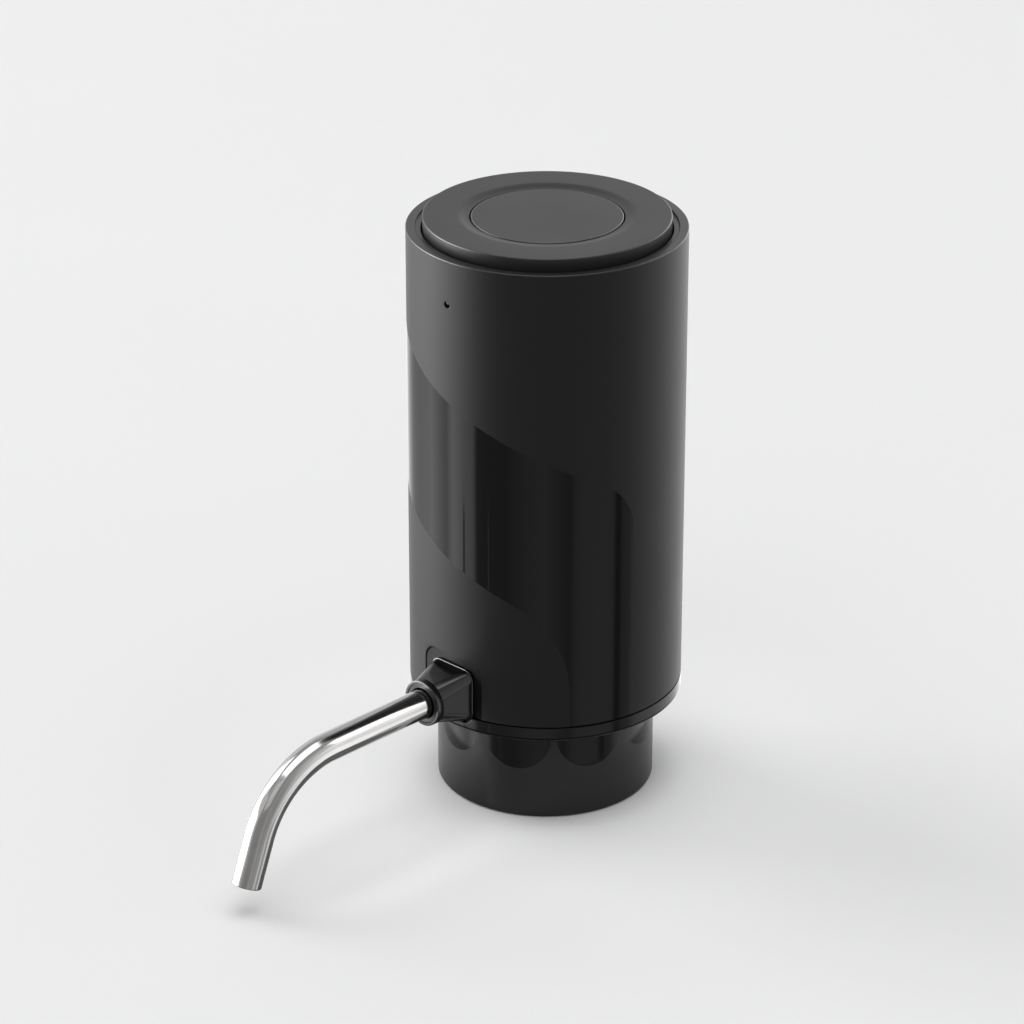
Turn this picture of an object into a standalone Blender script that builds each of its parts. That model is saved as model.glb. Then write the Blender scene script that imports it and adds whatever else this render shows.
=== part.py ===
"""Electric wine aerator: a pump unit that stands on a wine bottle's neck, with a bent pouring spout.

+Z is up and the origin is on the body's axis, at the foot of the bottle collar. The spout points
along -Y. All lengths are in metres. A battery turns a small motor, whose eccentric works a
diaphragm pump. Its air goes down into the bottle, and the wine rises through the elbow to the spout.
"""

import math

import bmesh
import bpy
from mathutils import Matrix, Vector

# Clearance between pieces that touch, running clearance, and how far a cutter overruns a face

GAP = 0.0003
RUNNING_GAP = 0.0006
OVERRUN = 0.002
MERGE = 0.00001

# Facets round large, medium, hidden, small and tiny turned pieces

BIG_ROUND = 48
MIDDLE_ROUND = 24
HIDDEN_ROUND = 16
SMALL_ROUND = 12
TINY_ROUND = 8

# Neck grip, which takes the bottle's neck, and the collar round it

GRIP_R = 0.0152
GRIP_T = 0.0014
GRIP_END_Z = 0.0008
GRIP_LEAD = 0.0006
COLLAR_H = 0.0236
COLLAR_WALL = 0.002
COLLAR_FLOOR = 0.002
COLLAR_EDGE = 0.0008
COLLAR_SPACE = 0.00555
SLEEVE_WALL = 0.0015

# Base ring, with its locating lip, and its air nipple

BASE_RING_T = 0.0035
BASE_RING_EDGE = 0.0008
LIP_H = 0.0016
LIP_WALL = 0.0011
NIPPLE_R = 0.0016
NIPPLE_BORE_R = 0.0008
NIPPLE_H = 0.0064
HOSE_WALL = 0.0009
HOSE_SPAN = 0.0063

# Spout tube and its route

TUBE_R = 0.0035
TUBE_BORE_R = 0.0025
TUBE_REACH = 0.03
TUBE_BEND_R = 0.0235
TUBE_BEND_DEG = 68.5
TUBE_END = 0.0117
TUBE_SEAT = 0.0069
SEAL_T = 0.0008
SEAL_DEPTH = 0.003
SEAL_INSET = 0.0002

# Spout boss: rounded square at its foot, round ring at its tip, shank and flange behind it

BOSS_HALF = 0.0065
BOSS_CORNER_R = 0.0024
BOSS_ROOT = 0.0004
BOSS_LOFT_L = 0.0088
BOSS_STEP = 0.00035
BOSS_RING_WALL = 0.0007
BOSS_RING_L = 0.0018
BOSS_EDGE = 0.00025
BOSS_SIDES = 32
BOSS_SHANK_WALL = 0.0012
BOSS_FLANGE_W = 0.0005
BOSS_FLANGE_T = 0.0022
BOSS_FLANGE_CORNER_R = 0.001

# Doorway recess in the shell, in which the boss sits, and the flat pad behind it

RECESS_SIDE = 0.003
RECESS_HEAD = 0.0029
RECESS_CORNER_R = 0.0045
RECESS_DEPTH = 0.0018
PAD_T = 0.0022
PAD_SIDE = 0.0014
PAD_HEAD = 0.002

# Elbow that leads the wine from the stopper to the spout, and its sealing ring

RISER_WALL = 0.0015
RISER_BEND_R = 0.006
RISER_END_Z = 0.0018
SOCKET_WALL = 0.001
SOCKET_STEP = 0.0018
SEAL_RING_R = 0.00045

# Stopper in the bottle's mouth

STOPPER_R = 0.0092
STOPPER_RIB = 0.0005
STOPPER_RIBS = 3
STOPPER_END_Z = 0.003
STOPPER_LEAD = 0.0012
STOPPER_FLANGE_T = 0.0025

# Shell: wall, rim and the ledge that carries the frame's deck

SHELL_WALL = 0.0022
RIM_DROP = 0.0003
RIM_EDGE = 0.0004
LEDGE_T = 0.0015
LEDGE_W = 0.0013

# Cover in the rim, its dish, skirt and guide, and the power button

COVER_H = 0.0153
COVER_RISE = 0.0025
COVER_GROOVE = 0.00165
COVER_T = 0.002
COVER_SKIRT_T = 0.0018
COVER_EDGE = 0.0004
DISH_W = 0.0034
DISH_DEPTH = 0.0008
GUIDE_T = 0.002
GUIDE_H = 0.0051
BUTTON_R = 0.0176
BUTTON_DROP = 0.0006
BUTTON_T = 0.0018
BUTTON_WALL = 0.0016
BUTTON_EDGE = 0.0004
BUTTON_FLANGE_W = 0.0019
BUTTON_FLANGE_T = 0.001
BUTTON_STEM_R = 0.0022
BUTTON_TRAVEL = 0.0008

# Inner frame: floor, deck under the cover, spine wall, and rails for the main board

FRAME_FLOOR_T = 0.002
DECK_T = 0.002
DECK_EDGE = 0.0006
FRAME_POST_BITE = 0.005
SPINE_Y = 0.001
SPINE_T = 0.002
SPINE_INSET = 0.0026
SPINE_WINDOW_HALF_W = 0.0075
SPINE_WINDOW_ROOM = 0.0036
RAIL_W = 0.0036
RAIL_D = 0.0024

# Motor and its clamp, in front of the spine

MOTOR_R = 0.0121
MOTOR_H = 0.0275
MOTOR_WALL = 0.001
MOTOR_EDGE = 0.0008
MOTOR_BOSS_R = 0.003
MOTOR_BOSS_H = 0.0012
MOTOR_SPACE = 0.0022
MOTOR_ROOM = 0.0025
MAGNET_T = 0.0022
MAGNET_GAP_HALF_W = 0.003
SHAFT_R = 0.001
SHAFT_END = 0.0015
SHAFT_SEAT = 0.0008
ARMATURE_LIFT = 0.0025
ARMATURE_T = 0.0175
COMMUTATOR_R = 0.0025
COMMUTATOR_H = 0.003
POLE_SLOT_W = 0.0018
POLE_SLOT_DEPTH = 0.0035
POLES = 3
END_CAP_T = 0.0032
END_CAP_BOSS_R = 0.004
END_CAP_BOSS_H = 0.001
CLAMP_T = 0.0009
CLAMP_H = 0.009
CLAMP_BRIDGE_HALF_W = 0.003
CLAMP_OPENING_SHARE = 0.72

# Pump, below the motor and on its axis

PUMP_R = 0.011
HEAD_T = 0.004
HEAD_EDGE = 0.0008
BARB_H = 0.0052
AIR_X_SHARE = 0.728
AIR_Y_SHARE = 0.445
VALVE_PLATE_T = 0.0015
VALVE_HOLE_R = 0.0012
DIAPHRAGM_T = 0.0018
CUP_H = 0.0036
CUP_R_SHARE = 0.31
CUP_AT_SHARE = 0.51
CUP_WALL = 0.0009
CUPS = 3
WOBBLE_T = 0.0015
WOBBLE_CUP_H = 0.0035
WOBBLE_CUP_WALL = 0.0009
CRANK_PIN_R = 0.0008
CRANK_OFFSET = 0.0012
CRANK_PIN_L = 0.0036
ECCENTRIC_R = 0.0042
ECCENTRIC_T = 0.0035
CRANKCASE_WALL = 0.0014
CRANKCASE_TOP_T = 0.002

# Battery cell and its clips, behind the spine

CELL_R = 0.0092
CELL_H = 0.065
CELL_LIFT = 0.0209
CELL_SPACE = 0.0024
CELL_HEADROOM = 0.0111
CELL_NUB_R = 0.0028
CELL_NUB_H = 0.0012
CELL_EDGE = 0.0006
CLIP_T = 0.0006
CLIP_H = 0.008
CLIP_SHARES = (0.2, 0.8)

# Main board behind the cell, with the charging socket

BOARD_T = 0.0012
BOARD_SPACE = 0.0009
BOARD_ROOM = 0.0003
BOARD_HALF_W = 0.01
BOARD_H = 0.066
BOARD_LIFT = 0.0046
PORT_LIFT = 0.011
PORT_HALF_W = 0.0045
PORT_HALF_H = 0.00165
PORT_WALL = 0.0004
PORT_INSET = 0.0006
PORT_BACK_T = 0.0008
PORT_TONGUE_HALF_W = 0.0033
PORT_TONGUE_T = 0.0007

# Switch board with its posts, lamp, switch and spring, and the small hole for the lamp

SWITCH_BOARD_R = 0.013
SWITCH_BOARD_EDGE = 0.0009
SWITCH_BOARD_POST_H = 0.0006
SWITCH_BOARD_POST_R = 0.0019
LAMP_HOLE_R = 0.0008
LAMP_W = 0.002
LAMP_D = 0.0012
LAMP_H = 0.0012
LAMP_INSET = 0.0004
TACT_HALF_W = 0.003
TACT_H = 0.0035
PLUNGER_R = 0.00175
PLUNGER_RISE = 0.0018
PLUNGER_SEAT = 0.001
SPRING_R = 0.0056
SPRING_WIRE_R = 0.00035
SPRING_TURNS = 4
SPRING_STEPS = 8

# Screws and the pillars that take them

SCREW_R = 0.0008
SCREW_HEAD_R = 0.0016
SCREW_HEAD_T = 0.001
SCREW_BITE = 0.0024
PILLAR_WALL = 0.0011
PILLAR_SEAT_T = 0.004
COVER_PILLAR_BITE = 0.005
COLLAR_SCREW_DEGREES = (30, 150, 270)
FRAME_SCREW_DEGREES = (90, 210, 330)

# Depths along Y, from the spine to the motor, the cell and the board

DRIVE_Y = SPINE_Y - MOTOR_SPACE - CLAMP_T - GAP - MOTOR_R
DRIVE = (0, DRIVE_Y, 0)
CELL_Y = SPINE_Y + SPINE_T + CELL_SPACE + CLIP_T + GAP + CELL_R
BOARD_Y = CELL_Y + CELL_R + BOARD_SPACE
BOARD_BACK_Y = BOARD_Y + BOARD_T
RAIL_X = BOARD_HALF_W - RAIL_W
RAIL_Y = BOARD_Y - GAP - RAIL_D

# Radii of the shell, which goes round the motor and the board, and of what fits in it

MOTOR_REACH = MOTOR_R + GAP + CLAMP_T + MOTOR_ROOM - DRIVE_Y
BOARD_REACH = math.hypot(BOARD_HALF_W, BOARD_BACK_Y + GAP + SCREW_HEAD_T) + BOARD_ROOM
SHELL_INNER_R = max(MOTOR_REACH, BOARD_REACH)
BODY_R = SHELL_INNER_R + SHELL_WALL
LIP_R = SHELL_INNER_R - GAP
FRAME_FLOOR_R = LIP_R - LIP_WALL - GAP
DECK_R = SHELL_INNER_R - GAP
SPINE_HALF_W = FRAME_FLOOR_R - SPINE_INSET
COVER_R = SHELL_INNER_R - COVER_GROOVE
GUIDE_R = BUTTON_R + GAP
DISH_R = BUTTON_R + DISH_W
BUTTON_FLANGE_R = BUTTON_R + BUTTON_FLANGE_W

# Radii of the collar, the stopper and the wine's way

SLEEVE_R = GRIP_R + GRIP_T + GAP
COLLAR_R = SLEEVE_R + SLEEVE_WALL + COLLAR_SPACE + COLLAR_WALL
RISER_R = TUBE_BORE_R + RISER_WALL
SOCKET_R = TUBE_R + GAP + SOCKET_WALL
BOSS_SHANK_R = TUBE_R + GAP + BOSS_SHANK_WALL
BOSS_RING_R = TUBE_R + GAP + SEAL_T + GAP + BOSS_RING_WALL
BOSS_FLANGE_HALF_W = BOSS_HALF + BOSS_FLANGE_W
RECESS_HALF = BOSS_HALF + RECESS_SIDE
PAD_HALF = RECESS_HALF + PAD_SIDE
AIR_X = PUMP_R * AIR_X_SHARE
AIR_Y = DRIVE_Y + PUMP_R * AIR_Y_SHARE
AIR_BORE_AT = (RISER_R + GAP + STOPPER_R) / 2

# Distances before the axis, from the shell out to the spout and back in to the elbow

RECESS_FLOOR_Y = BODY_R - RECESS_DEPTH
PAD_BACK_Y = RECESS_FLOOR_Y - PAD_T
BOSS_FOOT_Y = RECESS_FLOOR_Y + GAP
BOSS_LOFT_Y = BOSS_FOOT_Y + BOSS_LOFT_L
BOSS_TIP_Y = BOSS_LOFT_Y + BOSS_RING_L
TUBE_STRAIGHT_Y = BOSS_TIP_Y + TUBE_REACH
BOSS_SHANK_Y = PAD_BACK_Y - GAP - BOSS_FLANGE_T
SOCKET_MOUTH_Y = BOSS_SHANK_Y - 2 * (GAP + SEAL_RING_R)
TUBE_INNER_Y = SOCKET_MOUTH_Y - TUBE_SEAT
SOCKET_BACK_Y = TUBE_INNER_Y - GAP - SOCKET_STEP

# Heights of the collar, the base ring, the frame's floor and the spout

BASE_RING_Z = COLLAR_H
BASE_TOP_Z = BASE_RING_Z + BASE_RING_T
COLLAR_TOP_Z = BASE_RING_Z - GAP
COLLAR_SCREW_HEAD_Z = COLLAR_TOP_Z - PILLAR_SEAT_T - GAP
STOPPER_FLANGE_Z = COLLAR_TOP_Z - STOPPER_FLANGE_T
GRIP_TOP_Z = STOPPER_FLANGE_Z - GAP
SHELL_END_Z = BASE_TOP_Z + GAP
FRAME_FLOOR_Z = BASE_TOP_Z + GAP
FRAME_FLOOR_TOP_Z = FRAME_FLOOR_Z + FRAME_FLOOR_T
SPOUT_Z = BASE_TOP_Z + GAP + BOSS_SHANK_R
RECESS_TOP_Z = SPOUT_Z + BOSS_HALF + RECESS_HEAD
SPINE_WINDOW_TOP_Z = SPOUT_Z + RISER_R + SPINE_WINDOW_ROOM
NIPPLE_TOP_Z = BASE_TOP_Z + NIPPLE_H

# Heights of the pump and the motor

PUMP_Z = NIPPLE_TOP_Z + HOSE_SPAN + BARB_H
VALVE_PLATE_Z = PUMP_Z + HEAD_T + GAP
DIAPHRAGM_Z = VALVE_PLATE_Z + VALVE_PLATE_T + GAP
DIAPHRAGM_TOP_Z = DIAPHRAGM_Z + DIAPHRAGM_T
CRANKCASE_Z = DIAPHRAGM_TOP_Z + GAP
WOBBLE_Z = DIAPHRAGM_TOP_Z + CUP_H + GAP
WOBBLE_R = PUMP_R - CRANKCASE_WALL - 2 * RUNNING_GAP
WOBBLE_CUP_R = CRANK_OFFSET + CRANK_PIN_R + RUNNING_GAP
WOBBLE_CUP_TOP_Z = WOBBLE_Z + WOBBLE_T + WOBBLE_CUP_H
ECCENTRIC_Z = WOBBLE_CUP_TOP_Z + RUNNING_GAP
ECCENTRIC_TOP_Z = ECCENTRIC_Z + ECCENTRIC_T
CRANKCASE_TOP_Z = ECCENTRIC_TOP_Z + RUNNING_GAP + CRANKCASE_TOP_T
MOTOR_Z = CRANKCASE_TOP_Z + GAP
MOTOR_TOP_Z = MOTOR_Z + MOTOR_H
MAGNET_R = MOTOR_R - MOTOR_WALL - GAP
ARMATURE_R = MAGNET_R - MAGNET_T - RUNNING_GAP
END_CAP_Z = MOTOR_TOP_Z + GAP
END_CAP_TOP_Z = END_CAP_Z + END_CAP_T

# Heights of the cell, the boards, the deck, the cover and the button

CELL_Z = BASE_TOP_Z + CELL_LIFT
CELL_TOP_Z = CELL_Z + CELL_H
BOARD_END_Z = FRAME_FLOOR_TOP_Z + BOARD_LIFT
BOARD_TOP_Z = BOARD_END_Z + BOARD_H
PORT_Z = BOARD_END_Z + PORT_LIFT
DECK_Z = CELL_TOP_Z + CELL_NUB_H + CELL_HEADROOM
DECK_TOP_Z = DECK_Z + DECK_T
COVER_END_Z = DECK_TOP_Z + GAP
COVER_TOP_Z = COVER_END_Z + COVER_H
RIM_TOP_Z = COVER_TOP_Z - COVER_RISE
GUIDE_END_Z = COVER_TOP_Z - GUIDE_H
BUTTON_TOP_Z = COVER_TOP_Z - BUTTON_DROP
BUTTON_UNDER_Z = BUTTON_TOP_Z - BUTTON_T
SWITCH_BOARD_Z = DECK_TOP_Z + SWITCH_BOARD_POST_H + GAP
SWITCH_BOARD_TOP_Z = SWITCH_BOARD_Z + BOARD_T
LAMP_END_Z = SWITCH_BOARD_TOP_Z + GAP
LAMP_Z = LAMP_END_Z + LAMP_H / 2
TACT_Z = SWITCH_BOARD_TOP_Z + GAP
TACT_TOP_Z = TACT_Z + TACT_H
PLUNGER_TOP_Z = TACT_TOP_Z + PLUNGER_RISE

# Holes and places of the screws

SCREW_HOLE_R = SCREW_R + GAP
PILLAR_R = SCREW_HOLE_R + PILLAR_WALL
COLLAR_SCREW_AT = SLEEVE_R + SLEEVE_WALL + COLLAR_SPACE / 2
COVER_SCREW_AT = COVER_R - COVER_SKIRT_T - GAP - PILLAR_R
SWITCH_BOARD_SCREW_X = SWITCH_BOARD_R - SCREW_HEAD_R - SWITCH_BOARD_EDGE
DECK_HOLE_R = SWITCH_BOARD_SCREW_X - SWITCH_BOARD_POST_R - DECK_EDGE
FORWARD = (0, -1, 0)


# Collections, materials and finished pieces


def fresh_collection(name):
    """A new collection under the scene's own."""
    collection = bpy.data.collections.new(name)
    bpy.context.scene.collection.children.link(collection)
    return collection


for old in list(bpy.data.objects):
    bpy.data.objects.remove(old, do_unlink=True)

PARTS = fresh_collection("electric_wine_aerator")
CUTTERS = fresh_collection("cutters")


def material(name, colour, roughness, metallic=0.0):
    """A Principled material, made once and then reused by name."""
    found = bpy.data.materials.get(name)
    if found:
        return found
    made = bpy.data.materials.new(name)
    made.use_nodes = True
    shader = made.node_tree.nodes["Principled BSDF"]
    shader.inputs["Base Color"].default_value = (*colour, 1.0)
    shader.inputs["Roughness"].default_value = roughness
    shader.inputs["Metallic"].default_value = metallic
    made.diffuse_color = (*colour, 1.0)
    return made


def matte_black():
    return material("matte_black", (0.035, 0.035, 0.037), 0.55)


def gloss_black():
    return material("gloss_black", (0.012, 0.012, 0.013), 0.08)


def polished_steel():
    return material("polished_steel", (0.78, 0.78, 0.79), 0.12, 1.0)


def black_rubber():
    return material("black_rubber", (0.02, 0.02, 0.02), 0.75)


def clear_silicone():
    return material("clear_silicone", (0.55, 0.56, 0.57), 0.5)


def lamp_lens():
    return material("lamp_lens", (0.75, 0.78, 0.82), 0.2)


def grey_plastic():
    return material("grey_plastic", (0.25, 0.25, 0.26), 0.5)


def plated_steel():
    return material("plated_steel", (0.62, 0.62, 0.64), 0.3, 1.0)


def board_green():
    return material("board_green", (0.02, 0.12, 0.05), 0.45)


def cell_wrap():
    return material("cell_wrap", (0.06, 0.16, 0.32), 0.4)


def magnet_grey():
    return material("magnet_grey", (0.1, 0.1, 0.11), 0.6)


# Modelling tools: each makes an object among the cutters, and finish moves it to the parts


def add_object(name, mesh, place=None):
    """A new object for a mesh, kept as a wire guide until it is finished."""
    made = bpy.data.objects.new(name, mesh)
    CUTTERS.objects.link(made)
    made.hide_render = True
    made.display_type = "WIRE"
    if place is not None:
        made.matrix_world = place
    return made


def mesh_of(name, shape):
    """The mesh of a bmesh, which is freed."""
    mesh = bpy.data.meshes.new(name)
    shape.to_mesh(mesh)
    shape.free()
    return mesh


def pointing(origin, direction):
    """The placement that puts local +Z along a direction from an origin."""
    turn = Vector((0, 0, 1)).rotation_difference(Vector(direction)).to_matrix().to_4x4()
    return Matrix.Translation(Vector(origin)) @ turn


def block(name, low, high):
    """A box between two opposite corners."""
    low, high = Vector(low), Vector(high)
    shape = bmesh.new()
    size = Matrix.Diagonal((*(high - low), 1.0))
    bmesh.ops.create_cube(shape, size=1.0, matrix=Matrix.Translation((low + high) / 2) @ size)
    return add_object(name, mesh_of(name, shape))


def rod(name, radius, start, end, segments=SMALL_ROUND, end_radius=None):
    """A cylinder from one point to another, or a cone if its end has a radius of its own."""
    start, end = Vector(start), Vector(end)
    shape = bmesh.new()
    bmesh.ops.create_cone(
        shape, cap_ends=True, segments=segments, radius1=radius,
        radius2=radius if end_radius is None else end_radius, depth=(end - start).length,
        matrix=pointing((start + end) / 2, end - start),
    )
    return add_object(name, mesh_of(name, shape))


def upright(name, radius, place, low, high, segments=SMALL_ROUND):
    """A vertical cylinder at an (x, y) place, between two heights."""
    return rod(name, radius, (*place, low), (*place, high), segments)


def bore(radius, place, low, high, segments=TINY_ROUND):
    """A cutter for a vertical hole at an (x, y) place, that overruns both heights."""
    return upright("bore", radius, place, low - OVERRUN, high + OVERRUN, segments)


def arc(centre, radius, start, end, steps):
    """Points on an arc round a centre, from one angle to another in degrees."""
    points = []
    for step in range(steps + 1):
        angle = math.radians(start + (end - start) * step / steps)
        points.append((centre[0] + radius * math.cos(angle), centre[1] + radius * math.sin(angle)))
    return points


def turned(name, profile, segments=BIG_ROUND, origin=(0, 0, 0), direction=(0, 0, 1)):
    """A profile of (radius, height) points turned about +Z by a Screw modifier.

    The profile runs down its outer side. It is a closed loop, unless both its ends are on the axis.
    """
    edges = [(i, i + 1) for i in range(len(profile) - 1)]
    if profile[0][0] > 0 or profile[-1][0] > 0:
        edges.append((len(profile) - 1, 0))
    mesh = bpy.data.meshes.new(name)
    mesh.from_pydata([(r, 0, z) for r, z in profile], edges, [])
    made = add_object(name, mesh, pointing(origin, direction))
    screw = made.modifiers.new("Turn", "SCREW")
    screw.steps = segments
    screw.render_steps = segments
    screw.use_merge_vertices = True
    screw.merge_threshold = MERGE
    return made


def ring(name, inner, outer, low, high, segments=SMALL_ROUND, origin=(0, 0, 0), direction=(0, 0, 1)):
    """A plain ring or washer between two heights on its axis."""
    profile = [(outer, high), (outer, low), (inner, low), (inner, high)]
    return turned(name, profile, segments, origin, direction)


def as_mesh(curve_object):
    """A curve object made a mesh, with its loose caps welded."""
    bpy.context.view_layer.update()
    solid = curve_object.evaluated_get(bpy.context.evaluated_depsgraph_get())
    mesh = bpy.data.meshes.new_from_object(solid)
    shape = bmesh.new()
    shape.from_mesh(mesh)
    bmesh.ops.remove_doubles(shape, verts=shape.verts, dist=MERGE)
    shape.to_mesh(mesh)
    shape.free()
    name, place = curve_object.name, curve_object.matrix_world.copy()
    bpy.data.objects.remove(curve_object, do_unlink=True)
    return add_object(name, mesh, place)


def prism(name, outline, thickness, origin=(0, 0, 0), direction=(0, 0, 1)):
    """A flat outline, filled and extruded from its origin along a direction."""
    curve = bpy.data.curves.new(name, "CURVE")
    curve.dimensions = "2D"
    curve.fill_mode = "BOTH"
    curve.extrude = thickness / 2
    spline = curve.splines.new("POLY")
    spline.points.add(len(outline) - 1)
    for point, (x, y) in zip(spline.points, outline):
        point.co = (x, y, 0, 1)
    spline.use_cyclic_u = True
    middle = Vector(origin) + Vector(direction).normalized() * thickness / 2
    return as_mesh(add_object(name, curve, pointing(middle, direction)))


def tube(name, path, radius, resolution=2, origin=(0, 0, 0)):
    """A round tube along a path of points, with filled ends."""
    curve = bpy.data.curves.new(name, "CURVE")
    curve.dimensions = "3D"
    curve.bevel_depth = radius
    curve.bevel_resolution = resolution
    curve.use_fill_caps = True
    spline = curve.splines.new("POLY")
    spline.points.add(len(path) - 1)
    for point, place in zip(spline.points, path):
        point.co = (*(Vector(place) - Vector(origin)), 1)
    return as_mesh(add_object(name, curve, Matrix.Translation(Vector(origin))))


def rounded_rectangle(half_w, half_h, radius, steps=3):
    """The outline of a rectangle with round corners, anticlockwise from its right side."""
    points = []
    for corner, (x, y) in enumerate(((1, 1), (-1, 1), (-1, -1), (1, -1))):
        centre = (x * (half_w - radius), y * (half_h - radius))
        points += arc(centre, radius, corner * 90, (corner + 1) * 90, steps)
    return points


def boolean(made, other, operation):
    """A Boolean of one object by another, which stays a wire guide."""
    modifier = made.modifiers.new(operation.title(), "BOOLEAN")
    modifier.operation = operation
    modifier.solver = "EXACT"
    modifier.object = other


def cut(made, *cutters):
    """Takes cutters away from an object."""
    for cutter in cutters:
        boolean(made, cutter, "DIFFERENCE")
    return made


def join(made, *others):
    """Unites an object with others that overlap it."""
    for other in others:
        boolean(made, other, "UNION")
    return made


def finish(made, look):
    """Turns the modifiers into a mesh, marks its sharp edges and moves the piece to the parts."""
    bpy.context.view_layer.update()
    solid = made.evaluated_get(bpy.context.evaluated_depsgraph_get())
    mesh = bpy.data.meshes.new_from_object(solid)
    made.modifiers.clear()
    made.data = mesh
    mesh.name = made.name
    mesh.materials.clear()
    mesh.materials.append(look)
    mesh.shade_smooth()
    mesh.set_sharp_from_angle(angle=math.radians(30))
    CUTTERS.objects.unlink(made)
    PARTS.objects.link(made)
    made.hide_render = False
    made.display_type = "TEXTURED"
    return made


def ahead(distance, z=SPOUT_Z):
    """The place at a distance before the body's axis, in the spout's plane."""
    return Vector((0, -distance, z))


def around(radius, degrees):
    """The (x, y) place at a radius and an angle about the body's axis."""
    angle = math.radians(degrees)
    return radius * math.cos(angle), radius * math.sin(angle)


def screw(name, head, direction, length):
    """A screw: its head's underside is at a point, and its shank runs along a direction."""
    profile = [
        (0, SCREW_HEAD_T),
        (SCREW_HEAD_R, SCREW_HEAD_T),
        (SCREW_HEAD_R, 0),
        (SCREW_R, 0),
        (SCREW_R, -length),
        (0, -length),
    ]
    back = -Vector(direction)
    return finish(turned(name, profile, TINY_ROUND, head, back), plated_steel())


# Outside of the body


def body_shell():
    """The cylindrical shell: rim, ledge for the deck, doorway recess with its pad, and openings."""
    ledge_top = DECK_Z - GAP
    ledge_r = SHELL_INNER_R - LEDGE_W
    shell = turned("body_shell", [
        (BODY_R - RIM_EDGE, RIM_TOP_Z),
        (BODY_R, RIM_TOP_Z - RIM_EDGE),
        (BODY_R, SHELL_END_Z),
        (SHELL_INNER_R, SHELL_END_Z),
        (SHELL_INNER_R, ledge_top - LEDGE_T - LEDGE_W),
        (ledge_r, ledge_top - LEDGE_T),
        (ledge_r, ledge_top),
        (SHELL_INNER_R, ledge_top),
        (SHELL_INNER_R, RIM_TOP_Z - RIM_DROP),
    ])
    pad = block(
        "recess_pad",
        (-PAD_HALF, -(SHELL_INNER_R + RECESS_FLOOR_Y) / 2, SHELL_END_Z),
        (PAD_HALF, -PAD_BACK_Y, RECESS_TOP_Z + PAD_HEAD),
    )
    join(shell, pad)
    foot = SHELL_END_Z - OVERRUN
    doorway = [(RECESS_HALF, foot)]
    corner_z = RECESS_TOP_Z - RECESS_CORNER_R
    corner_x = RECESS_HALF - RECESS_CORNER_R
    doorway += arc((corner_x, corner_z), RECESS_CORNER_R, 0, 90, 6)
    doorway += arc((-corner_x, corner_z), RECESS_CORNER_R, 90, 180, 6)
    doorway.append((-RECESS_HALF, foot))
    depth = BODY_R + OVERRUN - RECESS_FLOOR_Y
    recess = prism("recess_cut", doorway, depth, (0, -RECESS_FLOOR_Y, 0), FORWARD)
    slot_half = BOSS_SHANK_R + GAP
    slot = block(
        "shank_slot",
        (-slot_half, -RECESS_FLOOR_Y - OVERRUN, foot),
        (slot_half, -PAD_BACK_Y + OVERRUN, SPOUT_Z),
    )
    slot_end = rod("shank_hole", slot_half, ahead(PAD_BACK_Y - OVERRUN), ahead(RECESS_FLOOR_Y + OVERRUN),
                   MIDDLE_ROUND)
    lamp_hole = rod("lamp_hole", LAMP_HOLE_R, ahead(SHELL_INNER_R - OVERRUN, LAMP_Z),
                    ahead(BODY_R + OVERRUN, LAMP_Z), TINY_ROUND)
    port_hole = prism(
        "port_hole", rounded_rectangle(PORT_HALF_W + GAP, PORT_HALF_H + GAP, PORT_HALF_H),
        SHELL_WALL + 2 * OVERRUN, (0, SHELL_INNER_R - OVERRUN, PORT_Z), (0, 1, 0),
    )
    cut(shell, recess, slot, slot_end, lamp_hole, port_hole)
    return finish(shell, matte_black())


def base_ring():
    """The glossy ring under the shell: a plate with a locating lip, an air nipple and screw holes."""
    lip_top = BASE_TOP_Z + LIP_H
    plate = turned("base_ring", [
        (LIP_R, lip_top),
        (LIP_R, BASE_TOP_Z),
        (BODY_R, BASE_TOP_Z),
        *arc((BODY_R - BASE_RING_EDGE, BASE_RING_Z + BASE_RING_EDGE), BASE_RING_EDGE, 0, -90, 2),
        (RISER_R + GAP, BASE_RING_Z),
        (RISER_R + GAP, BASE_TOP_Z),
        (LIP_R - LIP_WALL, BASE_TOP_Z),
        (LIP_R - LIP_WALL, lip_top),
    ])
    join(plate, upright("nipple", NIPPLE_R, (AIR_X, AIR_Y), BASE_TOP_Z - BASE_RING_T / 2, NIPPLE_TOP_Z))
    gap_half = PAD_HALF + GAP
    lip_gap = block(
        "lip_gap",
        (-gap_half, -BODY_R, BASE_TOP_Z),
        (gap_half, -PAD_BACK_Y + OVERRUN, lip_top + OVERRUN),
    )
    notch_half = BOSS_HALF + GAP
    notch_y = BOSS_FOOT_Y - GAP
    notch = prism(
        "boss_notch", rounded_rectangle(notch_half, notch_half, BOSS_CORNER_R + GAP),
        BODY_R + OVERRUN - notch_y, ahead(notch_y), FORWARD,
    )
    cut(plate, lip_gap, notch, bore(NIPPLE_BORE_R, (AIR_X, AIR_Y), BASE_RING_Z, NIPPLE_TOP_Z))
    for degrees in COLLAR_SCREW_DEGREES:
        place = around(COLLAR_SCREW_AT, degrees)
        top = BASE_RING_Z + SCREW_BITE + GAP
        cut(plate, upright("collar_pilot", SCREW_HOLE_R, place, BASE_RING_Z - OVERRUN, top, TINY_ROUND))
    for degrees in FRAME_SCREW_DEGREES:
        cut(plate, bore(SCREW_HOLE_R, around(COLLAR_SCREW_AT, degrees), BASE_RING_Z, BASE_TOP_Z))
    return finish(plate, gloss_black())


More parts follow.
